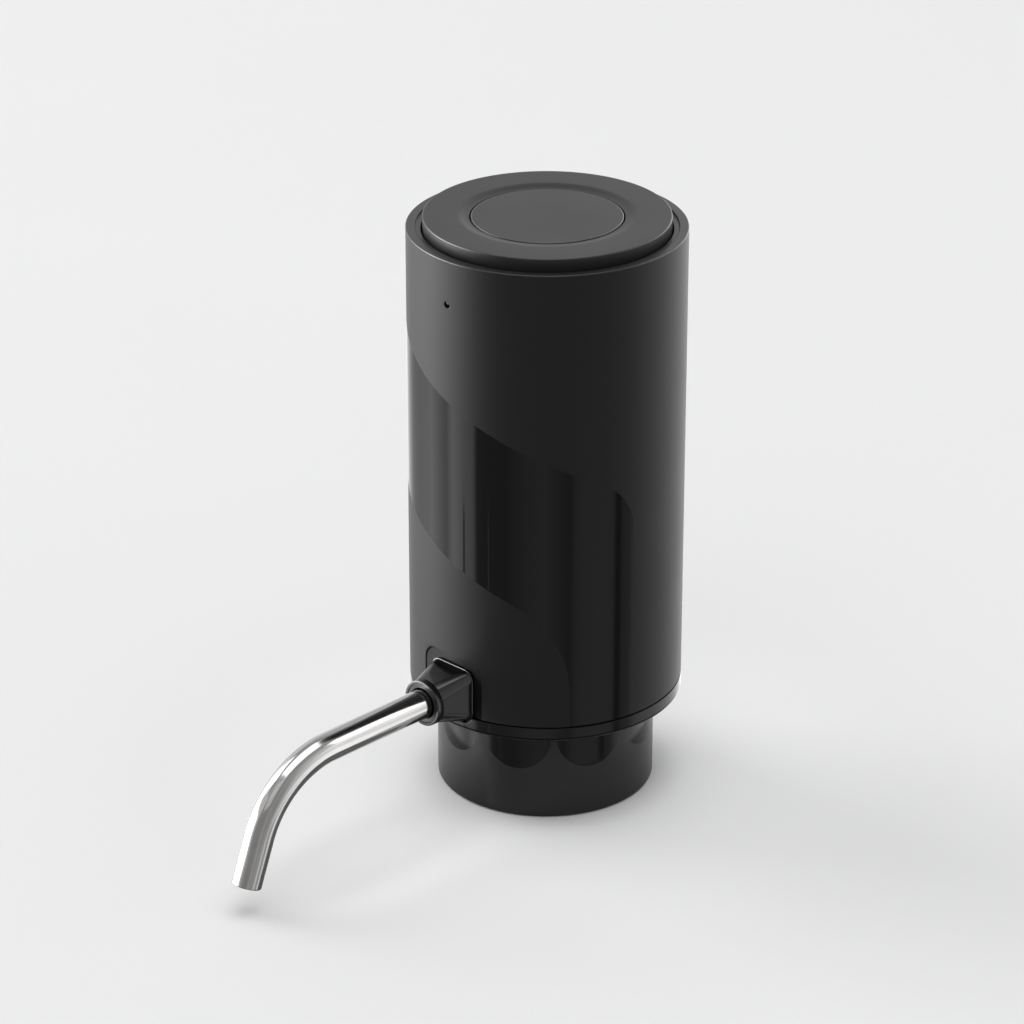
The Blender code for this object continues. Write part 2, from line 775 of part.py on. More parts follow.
def bottle_collar():
    """The collar: outer wall, flat foot, inner sleeve, and three pillars with deep screw bores."""
    collar = turned("bottle_collar", [
        (COLLAR_R, COLLAR_TOP_Z),
        *arc((COLLAR_R - COLLAR_EDGE, COLLAR_EDGE), COLLAR_EDGE, 0, -90, 2),
        (SLEEVE_R, 0),
        (SLEEVE_R, COLLAR_TOP_Z),
        (SLEEVE_R + SLEEVE_WALL, COLLAR_TOP_Z),
        (SLEEVE_R + SLEEVE_WALL, COLLAR_FLOOR),
        (COLLAR_R - COLLAR_WALL, COLLAR_FLOOR),
        (COLLAR_R - COLLAR_WALL, COLLAR_TOP_Z),
    ])
    deep_r = SCREW_HEAD_R + GAP
    for degrees in COLLAR_SCREW_DEGREES:
        place = around(COLLAR_SCREW_AT, degrees)
        join(collar, upright("pillar", deep_r + PILLAR_WALL, place, COLLAR_FLOOR / 2, COLLAR_TOP_Z))
    for degrees in COLLAR_SCREW_DEGREES:
        place = around(COLLAR_SCREW_AT, degrees)
        seat = COLLAR_SCREW_HEAD_Z + GAP
        deep_bore = upright("deep_bore", deep_r, place, -OVERRUN, seat)
        cut(collar, deep_bore, bore(SCREW_HOLE_R, place, seat, COLLAR_TOP_Z))
    finish(collar, matte_black())
    for number, degrees in enumerate(COLLAR_SCREW_DEGREES, 1):
        x, y = around(COLLAR_SCREW_AT, degrees)
        length = BASE_RING_Z + SCREW_BITE - COLLAR_SCREW_HEAD_Z
        screw(f"collar_screw_{number}", (x, y, COLLAR_SCREW_HEAD_Z), (0, 0, 1), length)


def neck_grip():
    """The soft sleeve that grips the bottle's neck."""
    outer = SLEEVE_R - GAP
    grip = turned("neck_grip", [
        (outer, GRIP_TOP_Z),
        (outer, GRIP_END_Z),
        (GRIP_R + GRIP_LEAD, GRIP_END_Z),
        (GRIP_R, GRIP_END_Z + 2 * GRIP_LEAD),
        (GRIP_R, GRIP_TOP_Z),
    ], MIDDLE_ROUND)
    return finish(grip, black_rubber())


def bottle_stopper():
    """The stopper in the bottle's mouth: ribs outside, the riser's bore, and a bore for the air."""
    profile = [
        (SLEEVE_R - GAP, COLLAR_TOP_Z),
        (SLEEVE_R - GAP, STOPPER_FLANGE_Z),
        (STOPPER_R, STOPPER_FLANGE_Z),
    ]
    pitch = (STOPPER_FLANGE_Z - STOPPER_END_Z) / (STOPPER_RIBS + 1)
    for rib in range(1, STOPPER_RIBS + 1):
        z = STOPPER_FLANGE_Z - rib * pitch
        profile.append((STOPPER_R, z + STOPPER_RIB))
        profile.append((STOPPER_R + STOPPER_RIB, z))
        profile.append((STOPPER_R, z - STOPPER_RIB))
    profile += [
        (STOPPER_R, STOPPER_END_Z + STOPPER_LEAD),
        (STOPPER_R - STOPPER_LEAD, STOPPER_END_Z),
        (RISER_R + GAP, STOPPER_END_Z),
        (RISER_R + GAP, COLLAR_TOP_Z),
    ]
    stopper = turned("bottle_stopper", profile, MIDDLE_ROUND)
    port = Vector((AIR_X, AIR_Y, COLLAR_TOP_Z))
    place = Vector((AIR_X, AIR_Y)).normalized() * AIR_BORE_AT
    groove = rod("air_groove", NIPPLE_BORE_R, port, (*place, COLLAR_TOP_Z))
    cut(stopper, groove, bore(NIPPLE_BORE_R, place, STOPPER_END_Z, COLLAR_TOP_Z))
    return finish(stopper, clear_silicone())


def top_cover():
    """The cover in the rim: a dished plate with a skirt, the button's guide and screw pillars."""
    plate_z = COVER_TOP_Z - COVER_T
    dish = []
    for share in (0.0, 0.33, 0.67, 1.0):
        drop = DISH_DEPTH * (1 + math.cos(math.pi * share)) / 2
        dish.append((GUIDE_R + (DISH_R - GUIDE_R) * share, COVER_TOP_Z - drop))
    cover = turned("top_cover", [
        (COVER_R - COVER_EDGE, COVER_TOP_Z),
        (COVER_R, COVER_TOP_Z - COVER_EDGE),
        (COVER_R, COVER_END_Z),
        (COVER_R - COVER_SKIRT_T, COVER_END_Z),
        (COVER_R - COVER_SKIRT_T, plate_z),
        (GUIDE_R + GUIDE_T, plate_z),
        (GUIDE_R + GUIDE_T, GUIDE_END_Z),
        (GUIDE_R, GUIDE_END_Z),
        *dish,
    ])
    for degrees in FRAME_SCREW_DEGREES:
        place = around(COVER_SCREW_AT, degrees)
        join(cover, upright("cover_pillar", PILLAR_R, place, COVER_END_Z, plate_z + COVER_T / 2))
    for degrees in FRAME_SCREW_DEGREES:
        place = around(COVER_SCREW_AT, degrees)
        top = COVER_END_Z + COVER_PILLAR_BITE + GAP
        cut(cover, upright("cover_pilot", SCREW_HOLE_R, place, COVER_END_Z - OVERRUN, top, TINY_ROUND))
    cut(cover, rod("lamp_way", LAMP_HOLE_R, ahead(COVER_R - COVER_SKIRT_T - OVERRUN, LAMP_Z),
                   ahead(COVER_R + OVERRUN, LAMP_Z), TINY_ROUND))
    finish(cover, matte_black())
    for number, degrees in enumerate(FRAME_SCREW_DEGREES, 1):
        x, y = around(COVER_SCREW_AT, degrees)
        head_z = DECK_Z - GAP
        length = COVER_END_Z + COVER_PILLAR_BITE - head_z
        screw(f"cover_screw_{number}", (x, y, head_z), (0, 0, 1), length)


def power_button():
    """The round button: a thin cap with a flange that stops under the guide, and a stem."""
    flange_top = GUIDE_END_Z - GAP
    flange_z = flange_top - BUTTON_FLANGE_T
    stem_z = PLUNGER_TOP_Z + GAP
    button = turned("power_button", [
        (0, BUTTON_TOP_Z),
        (BUTTON_R - BUTTON_EDGE, BUTTON_TOP_Z),
        (BUTTON_R, BUTTON_TOP_Z - BUTTON_EDGE),
        (BUTTON_R, flange_top),
        (BUTTON_FLANGE_R, flange_top),
        (BUTTON_FLANGE_R, flange_z),
        (BUTTON_R - BUTTON_WALL, flange_z),
        (BUTTON_R - BUTTON_WALL, BUTTON_UNDER_Z),
        (BUTTON_STEM_R, BUTTON_UNDER_Z),
        (BUTTON_STEM_R, stem_z),
        (0, stem_z),
    ])
    return finish(button, matte_black())


# Spout, its boss and the wine's way


def boss_section(distance, size, roundness):
    """A ring of points before the body: a rounded square at roundness 0, a circle at 1."""
    flat = size - BOSS_CORNER_R
    points = []
    for side in range(BOSS_SIDES):
        angle = 2 * math.pi * side / BOSS_SIDES
        across, up = abs(math.cos(angle)), abs(math.sin(angle))
        square = size / max(across, up)
        if min(across, up) * square > flat:
            reach = flat * (across + up)
            square = reach + math.sqrt(reach ** 2 - 2 * flat ** 2 + BOSS_CORNER_R ** 2)
        radius = square + (size - square) * roundness
        points.append((radius * math.cos(angle), -distance, SPOUT_Z + radius * math.sin(angle)))
    return points


def loft(name, sections):
    """A closed skin over a row of rings with as many points each, listed away from the body."""
    shape = bmesh.new()
    rings = [[shape.verts.new(point) for point in section] for section in sections]
    count = len(rings[0])
    for near, far in zip(rings, rings[1:]):
        for i in range(count):
            k = (i + 1) % count
            shape.faces.new((near[i], near[k], far[k], far[i]))
    shape.faces.new(list(reversed(rings[0])))
    shape.faces.new(rings[-1])
    bmesh.ops.recalc_face_normals(shape, faces=shape.faces)
    return add_object(name, mesh_of(name, shape))


def spout_boss():
    """The glossy boss: a rounded square that lofts to a round ring, with a shank and a flange."""
    neck_r = BOSS_RING_R - BOSS_STEP
    root_y = BOSS_FOOT_Y + BOSS_ROOT
    sections = [boss_section(BOSS_FOOT_Y, BOSS_HALF, 0.0)]
    for share in (0.0, 0.5, 1.0):
        distance = root_y + (BOSS_LOFT_Y - root_y) * share
        sections.append(boss_section(distance, BOSS_HALF + (neck_r - BOSS_HALF) * share, share))
    sections.append(boss_section(BOSS_LOFT_Y, BOSS_RING_R, 1.0))
    sections.append(boss_section(BOSS_TIP_Y - BOSS_EDGE, BOSS_RING_R, 1.0))
    sections.append(boss_section(BOSS_TIP_Y, BOSS_RING_R - BOSS_EDGE, 1.0))
    boss = loft("spout_boss", sections)
    shank = rod("boss_shank", BOSS_SHANK_R, ahead(BOSS_SHANK_Y), ahead(BOSS_FOOT_Y + OVERRUN), MIDDLE_ROUND)
    flange = prism(
        "boss_flange", rounded_rectangle(BOSS_FLANGE_HALF_W, BOSS_SHANK_R, BOSS_FLANGE_CORNER_R),
        PAD_BACK_Y - GAP - BOSS_SHANK_Y, ahead(BOSS_SHANK_Y), FORWARD,
    )
    join(boss, shank, flange)
    way = rod("boss_bore", TUBE_R + GAP, ahead(BOSS_SHANK_Y - OVERRUN), ahead(BOSS_TIP_Y + OVERRUN),
              MIDDLE_ROUND)
    seal_seat = rod("seal_seat", TUBE_R + GAP + SEAL_T + GAP, ahead(BOSS_TIP_Y - SEAL_DEPTH - GAP),
                    ahead(BOSS_TIP_Y + OVERRUN), MIDDLE_ROUND)
    cut(boss, way, seal_seat)
    return finish(boss, gloss_black())


def spout_seal():
    """The rubber ring between the boss and the tube."""
    inner = TUBE_R + GAP
    seal = ring("spout_seal", inner, inner + SEAL_T, 0, SEAL_DEPTH - SEAL_INSET, MIDDLE_ROUND,
                ahead(BOSS_TIP_Y - SEAL_DEPTH), FORWARD)
    return finish(seal, black_rubber())


def spout_path(overrun=0.0):
    """The tube's centre line: straight out of the body, one bend, and a short straight end."""
    points = [ahead(TUBE_INNER_Y - overrun)]
    centre = (TUBE_STRAIGHT_Y, SPOUT_Z - TUBE_BEND_R)
    for distance, z in arc(centre, TUBE_BEND_R, 90, 90 - TUBE_BEND_DEG, 10):
        points.append(ahead(distance, z))
    slope = math.radians(TUBE_BEND_DEG)
    end = Vector((0, -math.cos(slope), -math.sin(slope))) * (TUBE_END + overrun)
    points.append(points[-1] + end)
    return points


def spout_tube():
    """The bent steel tube, which turns in its seals about the boss's axis."""
    origin = ahead(BOSS_TIP_Y)
    outside = tube("spout_tube", spout_path(), TUBE_R, 6, origin)
    cut(outside, tube("spout_bore", spout_path(OVERRUN), TUBE_BORE_R, 4, origin))
    return finish(outside, polished_steel())


def wine_elbow():
    """The elbow: the riser through the stopper, a bend, and the socket that takes the tube."""
    path = [Vector((0, 0, RISER_END_Z))]
    for distance, z in arc((RISER_BEND_R, SPOUT_Z - RISER_BEND_R), RISER_BEND_R, 180, 90, 4):
        path.append(ahead(distance, z))
    path.append(ahead(SOCKET_BACK_Y + OVERRUN))
    elbow = tube("wine_elbow", path, RISER_R, 3)
    socket = rod("elbow_socket", SOCKET_R, ahead(SOCKET_BACK_Y), ahead(SOCKET_MOUTH_Y))
    join(elbow, socket)
    path[0] = path[0] - Vector((0, 0, OVERRUN))
    path[-1] = ahead(TUBE_INNER_Y)
    way = tube("elbow_bore", path, TUBE_BORE_R, 2)
    seat = rod("socket_bore", TUBE_R + GAP, ahead(TUBE_INNER_Y - GAP), ahead(SOCKET_MOUTH_Y + OVERRUN))
    cut(elbow, way, seat)
    return finish(elbow, grey_plastic())


def elbow_seal():
    """The sealing ring between the elbow's mouth and the boss."""
    middle = (SOCKET_MOUTH_Y + BOSS_SHANK_Y) / 2
    profile = arc((TUBE_R + GAP + SEAL_RING_R, 0), SEAL_RING_R, 90, -270, 6)[:-1]
    return finish(turned("elbow_seal", profile, SMALL_ROUND, ahead(middle), FORWARD), black_rubber())


def light_pipe():
    """The clear pin that brings the lamp's light to the small hole under the rim."""
    start = ahead(SWITCH_BOARD_R + GAP, LAMP_Z)
    pipe = rod("light_pipe", LAMP_HOLE_R - GAP, start, ahead(BODY_R - GAP, LAMP_Z), TINY_ROUND)
    return finish(pipe, lamp_lens())


# Inner frame, boards and battery


def inner_frame():
    """The frame: floor, spine wall, deck under the cover, rails for the main board, and posts."""
    frame = rod("inner_frame", FRAME_FLOOR_R, (0, 0, FRAME_FLOOR_Z), (0, 0, FRAME_FLOOR_TOP_Z), BIG_ROUND)
    deck = rod("deck", DECK_R, (0, 0, DECK_Z), (0, 0, DECK_TOP_Z), BIG_ROUND)
    inside_floor = FRAME_FLOOR_Z + FRAME_FLOOR_T / 2
    inside_deck = DECK_Z + DECK_T / 2
    spine = block(
        "spine",
        (-SPINE_HALF_W, SPINE_Y, inside_floor),
        (SPINE_HALF_W, SPINE_Y + SPINE_T, inside_deck),
    )
    join(frame, deck, spine)
    for side in (-1, 1):
        near, far = sorted((side * RAIL_X, side * (RAIL_X + RAIL_W)))
        join(frame, block("rail", (near, RAIL_Y, inside_floor), (far, BOARD_Y - GAP, inside_deck)))
    post_top = FRAME_FLOOR_Z + FRAME_POST_BITE + GAP
    for degrees in FRAME_SCREW_DEGREES:
        place = around(COLLAR_SCREW_AT, degrees)
        join(frame, upright("frame_post", PILLAR_R, place, inside_floor, post_top + PILLAR_WALL))
    for side in (-1, 1):
        place = (side * SWITCH_BOARD_SCREW_X, 0)
        join(frame, upright("board_post", SWITCH_BOARD_POST_R, place, inside_deck, SWITCH_BOARD_Z - GAP))
    window = block(
        "spine_window",
        (-SPINE_WINDOW_HALF_W, SPINE_Y - OVERRUN, FRAME_FLOOR_TOP_Z),
        (SPINE_WINDOW_HALF_W, SPINE_Y + SPINE_T + OVERRUN, SPINE_WINDOW_TOP_Z),
    )
    slot_half = SOCKET_R + RUNNING_GAP
    below, above = FRAME_FLOOR_Z - OVERRUN, FRAME_FLOOR_TOP_Z + OVERRUN
    riser_hole = bore(slot_half, (0, 0), FRAME_FLOOR_Z, FRAME_FLOOR_TOP_Z, HIDDEN_ROUND)
    elbow_slot = block("elbow_slot", (-slot_half, -BODY_R, below), (slot_half, 0, above))
    flange_half = BOSS_FLANGE_HALF_W + RUNNING_GAP
    flange_slot = block("flange_slot", (-flange_half, -BODY_R, below),
                        (flange_half, -BOSS_SHANK_Y + RUNNING_GAP, above))
    hose_r = NIPPLE_R + GAP + HOSE_WALL
    hose_hole = bore(hose_r + GAP, (AIR_X, AIR_Y), FRAME_FLOOR_Z, FRAME_FLOOR_TOP_Z, SMALL_ROUND)
    deck_hole = bore(DECK_HOLE_R, (0, 0), DECK_Z, DECK_TOP_Z, HIDDEN_ROUND)
    cut(frame, window, riser_hole, elbow_slot, flange_slot, hose_hole, deck_hole)
    for degrees in FRAME_SCREW_DEGREES:
        place = around(COLLAR_SCREW_AT, degrees)
        cut(frame, upright("post_pilot", SCREW_HOLE_R, place, below, post_top, TINY_ROUND))
        cut(frame, bore(SCREW_HOLE_R, around(COVER_SCREW_AT, degrees), DECK_Z, DECK_TOP_Z))
    for side in (-1, 1):
        cut(frame, bore(SCREW_HOLE_R, (side * SWITCH_BOARD_SCREW_X, 0), DECK_Z, SWITCH_BOARD_Z))
        x, z = main_board_screw_place(side)
        cut(frame, rod("rail_pilot", SCREW_HOLE_R, (x, RAIL_Y - OVERRUN, z), (x, BOARD_Y, z), TINY_ROUND))
    finish(frame, grey_plastic())
    for number, degrees in enumerate(FRAME_SCREW_DEGREES, 1):
        x, y = around(COLLAR_SCREW_AT, degrees)
        length = FRAME_FLOOR_Z + FRAME_POST_BITE - COLLAR_TOP_Z
        screw(f"frame_screw_{number}", (x, y, COLLAR_TOP_Z), (0, 0, 1), length)


def main_board_screw_place(side):
    """The (x, z) place of a main board screw: one near the foot, one near the top."""
    middle = (BOARD_END_Z + BOARD_TOP_Z) / 2
    reach = (BOARD_TOP_Z - BOARD_END_Z) / 2 - 2 * SCREW_HEAD_R
    return side * (RAIL_X + RAIL_W / 2), middle + side * reach


def main_board():
    """The board with the charging circuit, screwed to the frame's rails."""
    front, back = BOARD_Y - OVERRUN, BOARD_BACK_Y + OVERRUN
    board = block(
        "main_board",
        (-BOARD_HALF_W, BOARD_Y, BOARD_END_Z),
        (BOARD_HALF_W, BOARD_BACK_Y, BOARD_TOP_Z),
    )
    for side in (-1, 1):
        x, z = main_board_screw_place(side)
        cut(board, rod("board_hole", SCREW_HOLE_R, (x, front, z), (x, back, z), TINY_ROUND))
    finish(board, board_green())
    for number, side in enumerate((-1, 1), 1):
        x, z = main_board_screw_place(side)
        head = (x, BOARD_BACK_Y + GAP, z)
        screw(f"main_board_screw_{number}", head, FORWARD, BOARD_T + GAP + RAIL_D)


def charge_socket():
    """The charging socket on the main board: a round-ended metal shell with a tongue."""
    start = BOARD_BACK_Y + GAP
    end = math.sqrt(BODY_R ** 2 - PORT_HALF_W ** 2) - PORT_INSET
    outline = rounded_rectangle(PORT_HALF_W, PORT_HALF_H, PORT_HALF_H - PORT_WALL / 2)
    socket = prism("charge_socket", outline, end - start, (0, start, PORT_Z), (0, 1, 0))
    inner_w, inner_h = PORT_HALF_W - PORT_WALL, PORT_HALF_H - PORT_WALL
    hollow = prism(
        "socket_hollow", rounded_rectangle(inner_w, inner_h, inner_h - PORT_WALL / 2),
        end + OVERRUN - start - PORT_BACK_T, (0, start + PORT_BACK_T, PORT_Z), (0, 1, 0),
    )
    tongue = block(
        "socket_tongue",
        (-PORT_TONGUE_HALF_W, start + PORT_BACK_T / 2, PORT_Z - PORT_TONGUE_T / 2),
        (PORT_TONGUE_HALF_W, end - PORT_BACK_T, PORT_Z + PORT_TONGUE_T / 2),
    )
    cut(socket, hollow)
    join(socket, tongue)
    return finish(socket, plated_steel())


def battery_cell():
    """The rechargeable cell, with its raised contact on top."""
    cell = turned("battery_cell", [
        (0, CELL_TOP_Z + CELL_NUB_H),
        (CELL_NUB_R, CELL_TOP_Z + CELL_NUB_H),
        (CELL_NUB_R, CELL_TOP_Z),
        (CELL_R - CELL_EDGE, CELL_TOP_Z),
        (CELL_R, CELL_TOP_Z - CELL_EDGE),
        (CELL_R, CELL_Z + CELL_EDGE),
        (CELL_R - CELL_EDGE, CELL_Z),
        (0, CELL_Z),
    ], HIDDEN_ROUND, (0, CELL_Y, 0))
    return finish(cell, cell_wrap())


def spring_clip(name, centre_y, radius, thickness, low, height, look):
    """A C-shaped clip round a vertical cylinder, bridged to the spine and open away from it."""
    away = 1 if centre_y > 0 else -1
    spine_face = SPINE_Y + SPINE_T + GAP if centre_y > 0 else SPINE_Y - GAP
    inner, outer = radius + GAP, radius + GAP + thickness
    high = low + height
    clip = ring(name, inner, outer, low, high, HIDDEN_ROUND, (0, centre_y, 0))
    near, far = sorted((spine_face, centre_y - away * (inner + thickness / 2)))
    bridge = block("bridge", (-CLAMP_BRIDGE_HALF_W, near, low), (CLAMP_BRIDGE_HALF_W, far, high))
    near, far = sorted((centre_y + away * inner * CLAMP_OPENING_SHARE, centre_y + away * (outer + OVERRUN)))
    opening = block("opening", (-outer, near, low - OVERRUN), (outer, far, high + OVERRUN))
    join(clip, bridge)
    cut(clip, opening)
    return finish(clip, look)


def battery_clips():
    """Two clips that hold the cell to the spine."""
    for number, share in enumerate(CLIP_SHARES, 1):
        low = CELL_Z + CELL_H * share - CLIP_H / 2
        spring_clip(f"battery_clip_{number}", CELL_Y, CELL_R, CLIP_T, low, CLIP_H, plated_steel())


def switch_board():
    """The round board under the button, on two posts of the deck."""
    low, high = SWITCH_BOARD_Z, SWITCH_BOARD_TOP_Z
    board = upright("switch_board", SWITCH_BOARD_R, (0, 0), low, high, HIDDEN_ROUND)
    for side in (-1, 1):
        cut(board, bore(SCREW_HOLE_R, (side * SWITCH_BOARD_SCREW_X, 0), low, high))
    finish(board, board_green())
    for number, side in enumerate((-1, 1), 1):
        length = SWITCH_BOARD_TOP_Z + GAP - DECK_Z
        head = (side * SWITCH_BOARD_SCREW_X, 0, SWITCH_BOARD_TOP_Z + GAP)
        screw(f"switch_board_screw_{number}", head, (0, 0, -1), length)


def tact_switch():
    """The small switch's square body, bored for its plunger."""
    half = TACT_HALF_W
    body = block("tact_switch", (-half, -half, TACT_Z), (half, half, TACT_TOP_Z))
    well_z = TACT_TOP_Z - PLUNGER_SEAT - BUTTON_TRAVEL - GAP
    cut(body, upright("plunger_bore", PLUNGER_R + GAP, (0, 0), well_z, TACT_TOP_Z + OVERRUN))
    return finish(body, grey_plastic())


def switch_plunger():
    """The switch's plunger, which the button's stem presses."""
    plunger = upright("switch_plunger", PLUNGER_R, (0, 0), TACT_TOP_Z - PLUNGER_SEAT, PLUNGER_TOP_Z)
    return finish(plunger, black_rubber())


def button_spring():
    """The coil spring between the switch board and the button."""
    low = SWITCH_BOARD_TOP_Z + GAP + SPRING_WIRE_R
    high = BUTTON_UNDER_Z - GAP - SPRING_WIRE_R
    count = SPRING_TURNS * SPRING_STEPS
    path = []
    for step in range(count + 1):
        x, y = around(SPRING_R, 360 * step / SPRING_STEPS)
        path.append((x, y, low + (high - low) * step / count))
    return finish(tube("button_spring", path, SPRING_WIRE_R, 1), plated_steel())


def indicator_lamp():
    """The small lamp on the front edge of the switch board."""
    front = -(SWITCH_BOARD_R - LAMP_INSET)
    lamp = block(
        "indicator_lamp",
        (-LAMP_W / 2, front, LAMP_END_Z),
        (LAMP_W / 2, front + LAMP_D, LAMP_END_Z + LAMP_H),
    )
    return finish(lamp, lamp_lens())


# Pump, motor and air line


def cup_places():
    """The (x, y) places of the pump's cups round the drive's axis."""
    places = []
    for cup in range(CUPS):
        x, y = around(PUMP_R * CUP_AT_SHARE, 90 + 360 * cup / CUPS)
        places.append((x, DRIVE_Y + y))
    return places


def pump_head():
    """The pump's end plate, with the barb that blows into the hose."""
    top = PUMP_Z + HEAD_T
    head = turned("pump_head", [
        (0, top),
        (PUMP_R, top),
        (PUMP_R, PUMP_Z + HEAD_EDGE),
        (PUMP_R - HEAD_EDGE, PUMP_Z),
        (0, PUMP_Z),
    ], HIDDEN_ROUND, DRIVE)
    join(head, upright("barb", NIPPLE_R, (AIR_X, AIR_Y), PUMP_Z - BARB_H, PUMP_Z + HEAD_T / 2))
    cut(head, bore(NIPPLE_BORE_R, (AIR_X, AIR_Y), PUMP_Z - BARB_H, top))
    return finish(head, grey_plastic())


def valve_plate():
    """The plate between head and diaphragm, with a valve hole for each cup."""
    top = VALVE_PLATE_Z + VALVE_PLATE_T
    plate = upright("valve_plate", PUMP_R, (0, DRIVE_Y), VALVE_PLATE_Z, top, HIDDEN_ROUND)
    for place in cup_places():
        cut(plate, bore(VALVE_HOLE_R, place, VALVE_PLATE_Z, top))
    return finish(plate, matte_black())


def diaphragm():
    """The rubber diaphragm: a flat disc with a hollow cup over each valve."""
    cup_r = PUMP_R * CUP_R_SHARE
    cup_top = DIAPHRAGM_TOP_Z + CUP_H
    disc = upright("diaphragm", PUMP_R, (0, DRIVE_Y), DIAPHRAGM_Z, DIAPHRAGM_TOP_Z, HIDDEN_ROUND)
    for place in cup_places():
        join(disc, upright("cup", cup_r, place, DIAPHRAGM_Z + DIAPHRAGM_T / 2, cup_top))
    for place in cup_places():
        cut(disc, upright("hollow", cup_r - CUP_WALL, place, DIAPHRAGM_Z - OVERRUN, cup_top - CUP_WALL))
    return finish(disc, black_rubber())


def wobble_plate():
    """The plate on the cups, with the socket that the crank pin stirs."""
    top = WOBBLE_Z + WOBBLE_T
    plate = turned("wobble_plate", [
        (0, top),
        (WOBBLE_CUP_R, top),
        (WOBBLE_CUP_R, WOBBLE_CUP_TOP_Z),
        (WOBBLE_CUP_R + WOBBLE_CUP_WALL, WOBBLE_CUP_TOP_Z),
        (WOBBLE_CUP_R + WOBBLE_CUP_WALL, top),
        (WOBBLE_R, top),
        (WOBBLE_R, WOBBLE_Z),
        (0, WOBBLE_Z),
    ], HIDDEN_ROUND, DRIVE)
    return finish(plate, grey_plastic())


def pump_crankcase():
    """The pump's housing between diaphragm and motor."""
    inner = PUMP_R - CRANKCASE_WALL
    hole = MOTOR_BOSS_R + GAP
    case = turned("pump_crankcase", [
        (PUMP_R, CRANKCASE_TOP_Z),
        (PUMP_R, CRANKCASE_Z),
        (inner, CRANKCASE_Z),
        (inner, CRANKCASE_TOP_Z - CRANKCASE_TOP_T),
        (hole, CRANKCASE_TOP_Z - CRANKCASE_TOP_T),
        (hole, CRANKCASE_TOP_Z),
    ], HIDDEN_ROUND, DRIVE)
    return finish(case, matte_black())


def motor_eccentric():
    """The crank on the motor's shaft, with its pin beside the axis."""
    crank = upright("motor_eccentric", ECCENTRIC_R, (0, DRIVE_Y), ECCENTRIC_Z, ECCENTRIC_TOP_Z)
    pin_place = (0, DRIVE_Y + CRANK_OFFSET)
    low, high = ECCENTRIC_Z - CRANK_PIN_L, ECCENTRIC_Z + SHAFT_SEAT / 2
    join(crank, upright("crank_pin", CRANK_PIN_R, pin_place, low, high, TINY_ROUND))
    seat_z = ECCENTRIC_Z + SHAFT_SEAT
    top = ECCENTRIC_TOP_Z + OVERRUN
    cut(crank, upright("crank_bore", SHAFT_R + GAP, (0, DRIVE_Y), seat_z, top, TINY_ROUND))
    return turn_about(finish(crank, grey_plastic()), DRIVE)


def turn_about(made, origin):
    """Moves an object's origin, and leaves its surface where it is."""
    shift = Vector(origin) - made.location
    made.data.transform(Matrix.Translation(-shift))
    made.location = origin
    return made


def motor_can():
    """The motor's steel can, closed at the pump's end by a bearing boss."""
    inner = MOTOR_R - MOTOR_WALL
    hole = SHAFT_R + GAP
    can = turned("motor_can", [
        (MOTOR_R, MOTOR_TOP_Z),
        (MOTOR_R, MOTOR_Z + MOTOR_EDGE),
        (MOTOR_R - MOTOR_EDGE, MOTOR_Z),
        (MOTOR_BOSS_R, MOTOR_Z),
        (MOTOR_BOSS_R, MOTOR_Z - MOTOR_BOSS_H),
        (hole, MOTOR_Z - MOTOR_BOSS_H),
        (hole, MOTOR_Z + MOTOR_WALL),
        (inner, MOTOR_Z + MOTOR_WALL),
        (inner, MOTOR_TOP_Z),
    ], HIDDEN_ROUND, DRIVE)
    return finish(can, plated_steel())


def motor_magnets():
    """Two arc magnets inside the can."""
    low, high = MOTOR_Z + MOTOR_WALL + GAP, MOTOR_TOP_Z - GAP
    for number, side in enumerate((-1, 1), 1):
        name = f"motor_magnet_{number}"
        magnet = ring(name, MAGNET_R - MAGNET_T, MAGNET_R, low, high, HIDDEN_ROUND, DRIVE)
        near, far = sorted((side * MAGNET_GAP_HALF_W, -side * (MAGNET_R + OVERRUN)))
        other = block(
            "magnet_half",
            (near, DRIVE_Y - MOTOR_R, low - OVERRUN),
            (far, DRIVE_Y + MOTOR_R, high + OVERRUN),
        )
        cut(magnet, other)
        finish(magnet, magnet_grey())


def motor_rotor():
    """The shaft with its slotted armature and the commutator above it."""
    low = MOTOR_Z + MOTOR_WALL + ARMATURE_LIFT
    high = low + ARMATURE_T
    rotor = turned("motor_rotor", [
        (0, END_CAP_TOP_Z + END_CAP_BOSS_H + SHAFT_END),
        (SHAFT_R, END_CAP_TOP_Z + END_CAP_BOSS_H + SHAFT_END),
        (SHAFT_R, high + COMMUTATOR_H),
        (COMMUTATOR_R, high + COMMUTATOR_H),
        (COMMUTATOR_R, high),
        (ARMATURE_R, high),
        (ARMATURE_R, low),
        (SHAFT_R, low),
        (SHAFT_R, ECCENTRIC_Z + SHAFT_SEAT + GAP),
        (0, ECCENTRIC_Z + SHAFT_SEAT + GAP),
    ], HIDDEN_ROUND, DRIVE)
    for pole in range(POLES):
        angle = 2 * math.pi * pole / POLES
        slot = block(
            "pole_slot",
            (ARMATURE_R - POLE_SLOT_DEPTH, -POLE_SLOT_W / 2, low - OVERRUN),
            (ARMATURE_R + OVERRUN, POLE_SLOT_W / 2, high + OVERRUN),
        )
        slot.matrix_world = Matrix.Translation(Vector(DRIVE)) @ Matrix.Rotation(angle, 4, "Z")
        cut(rotor, slot)
    return finish(rotor, plated_steel())


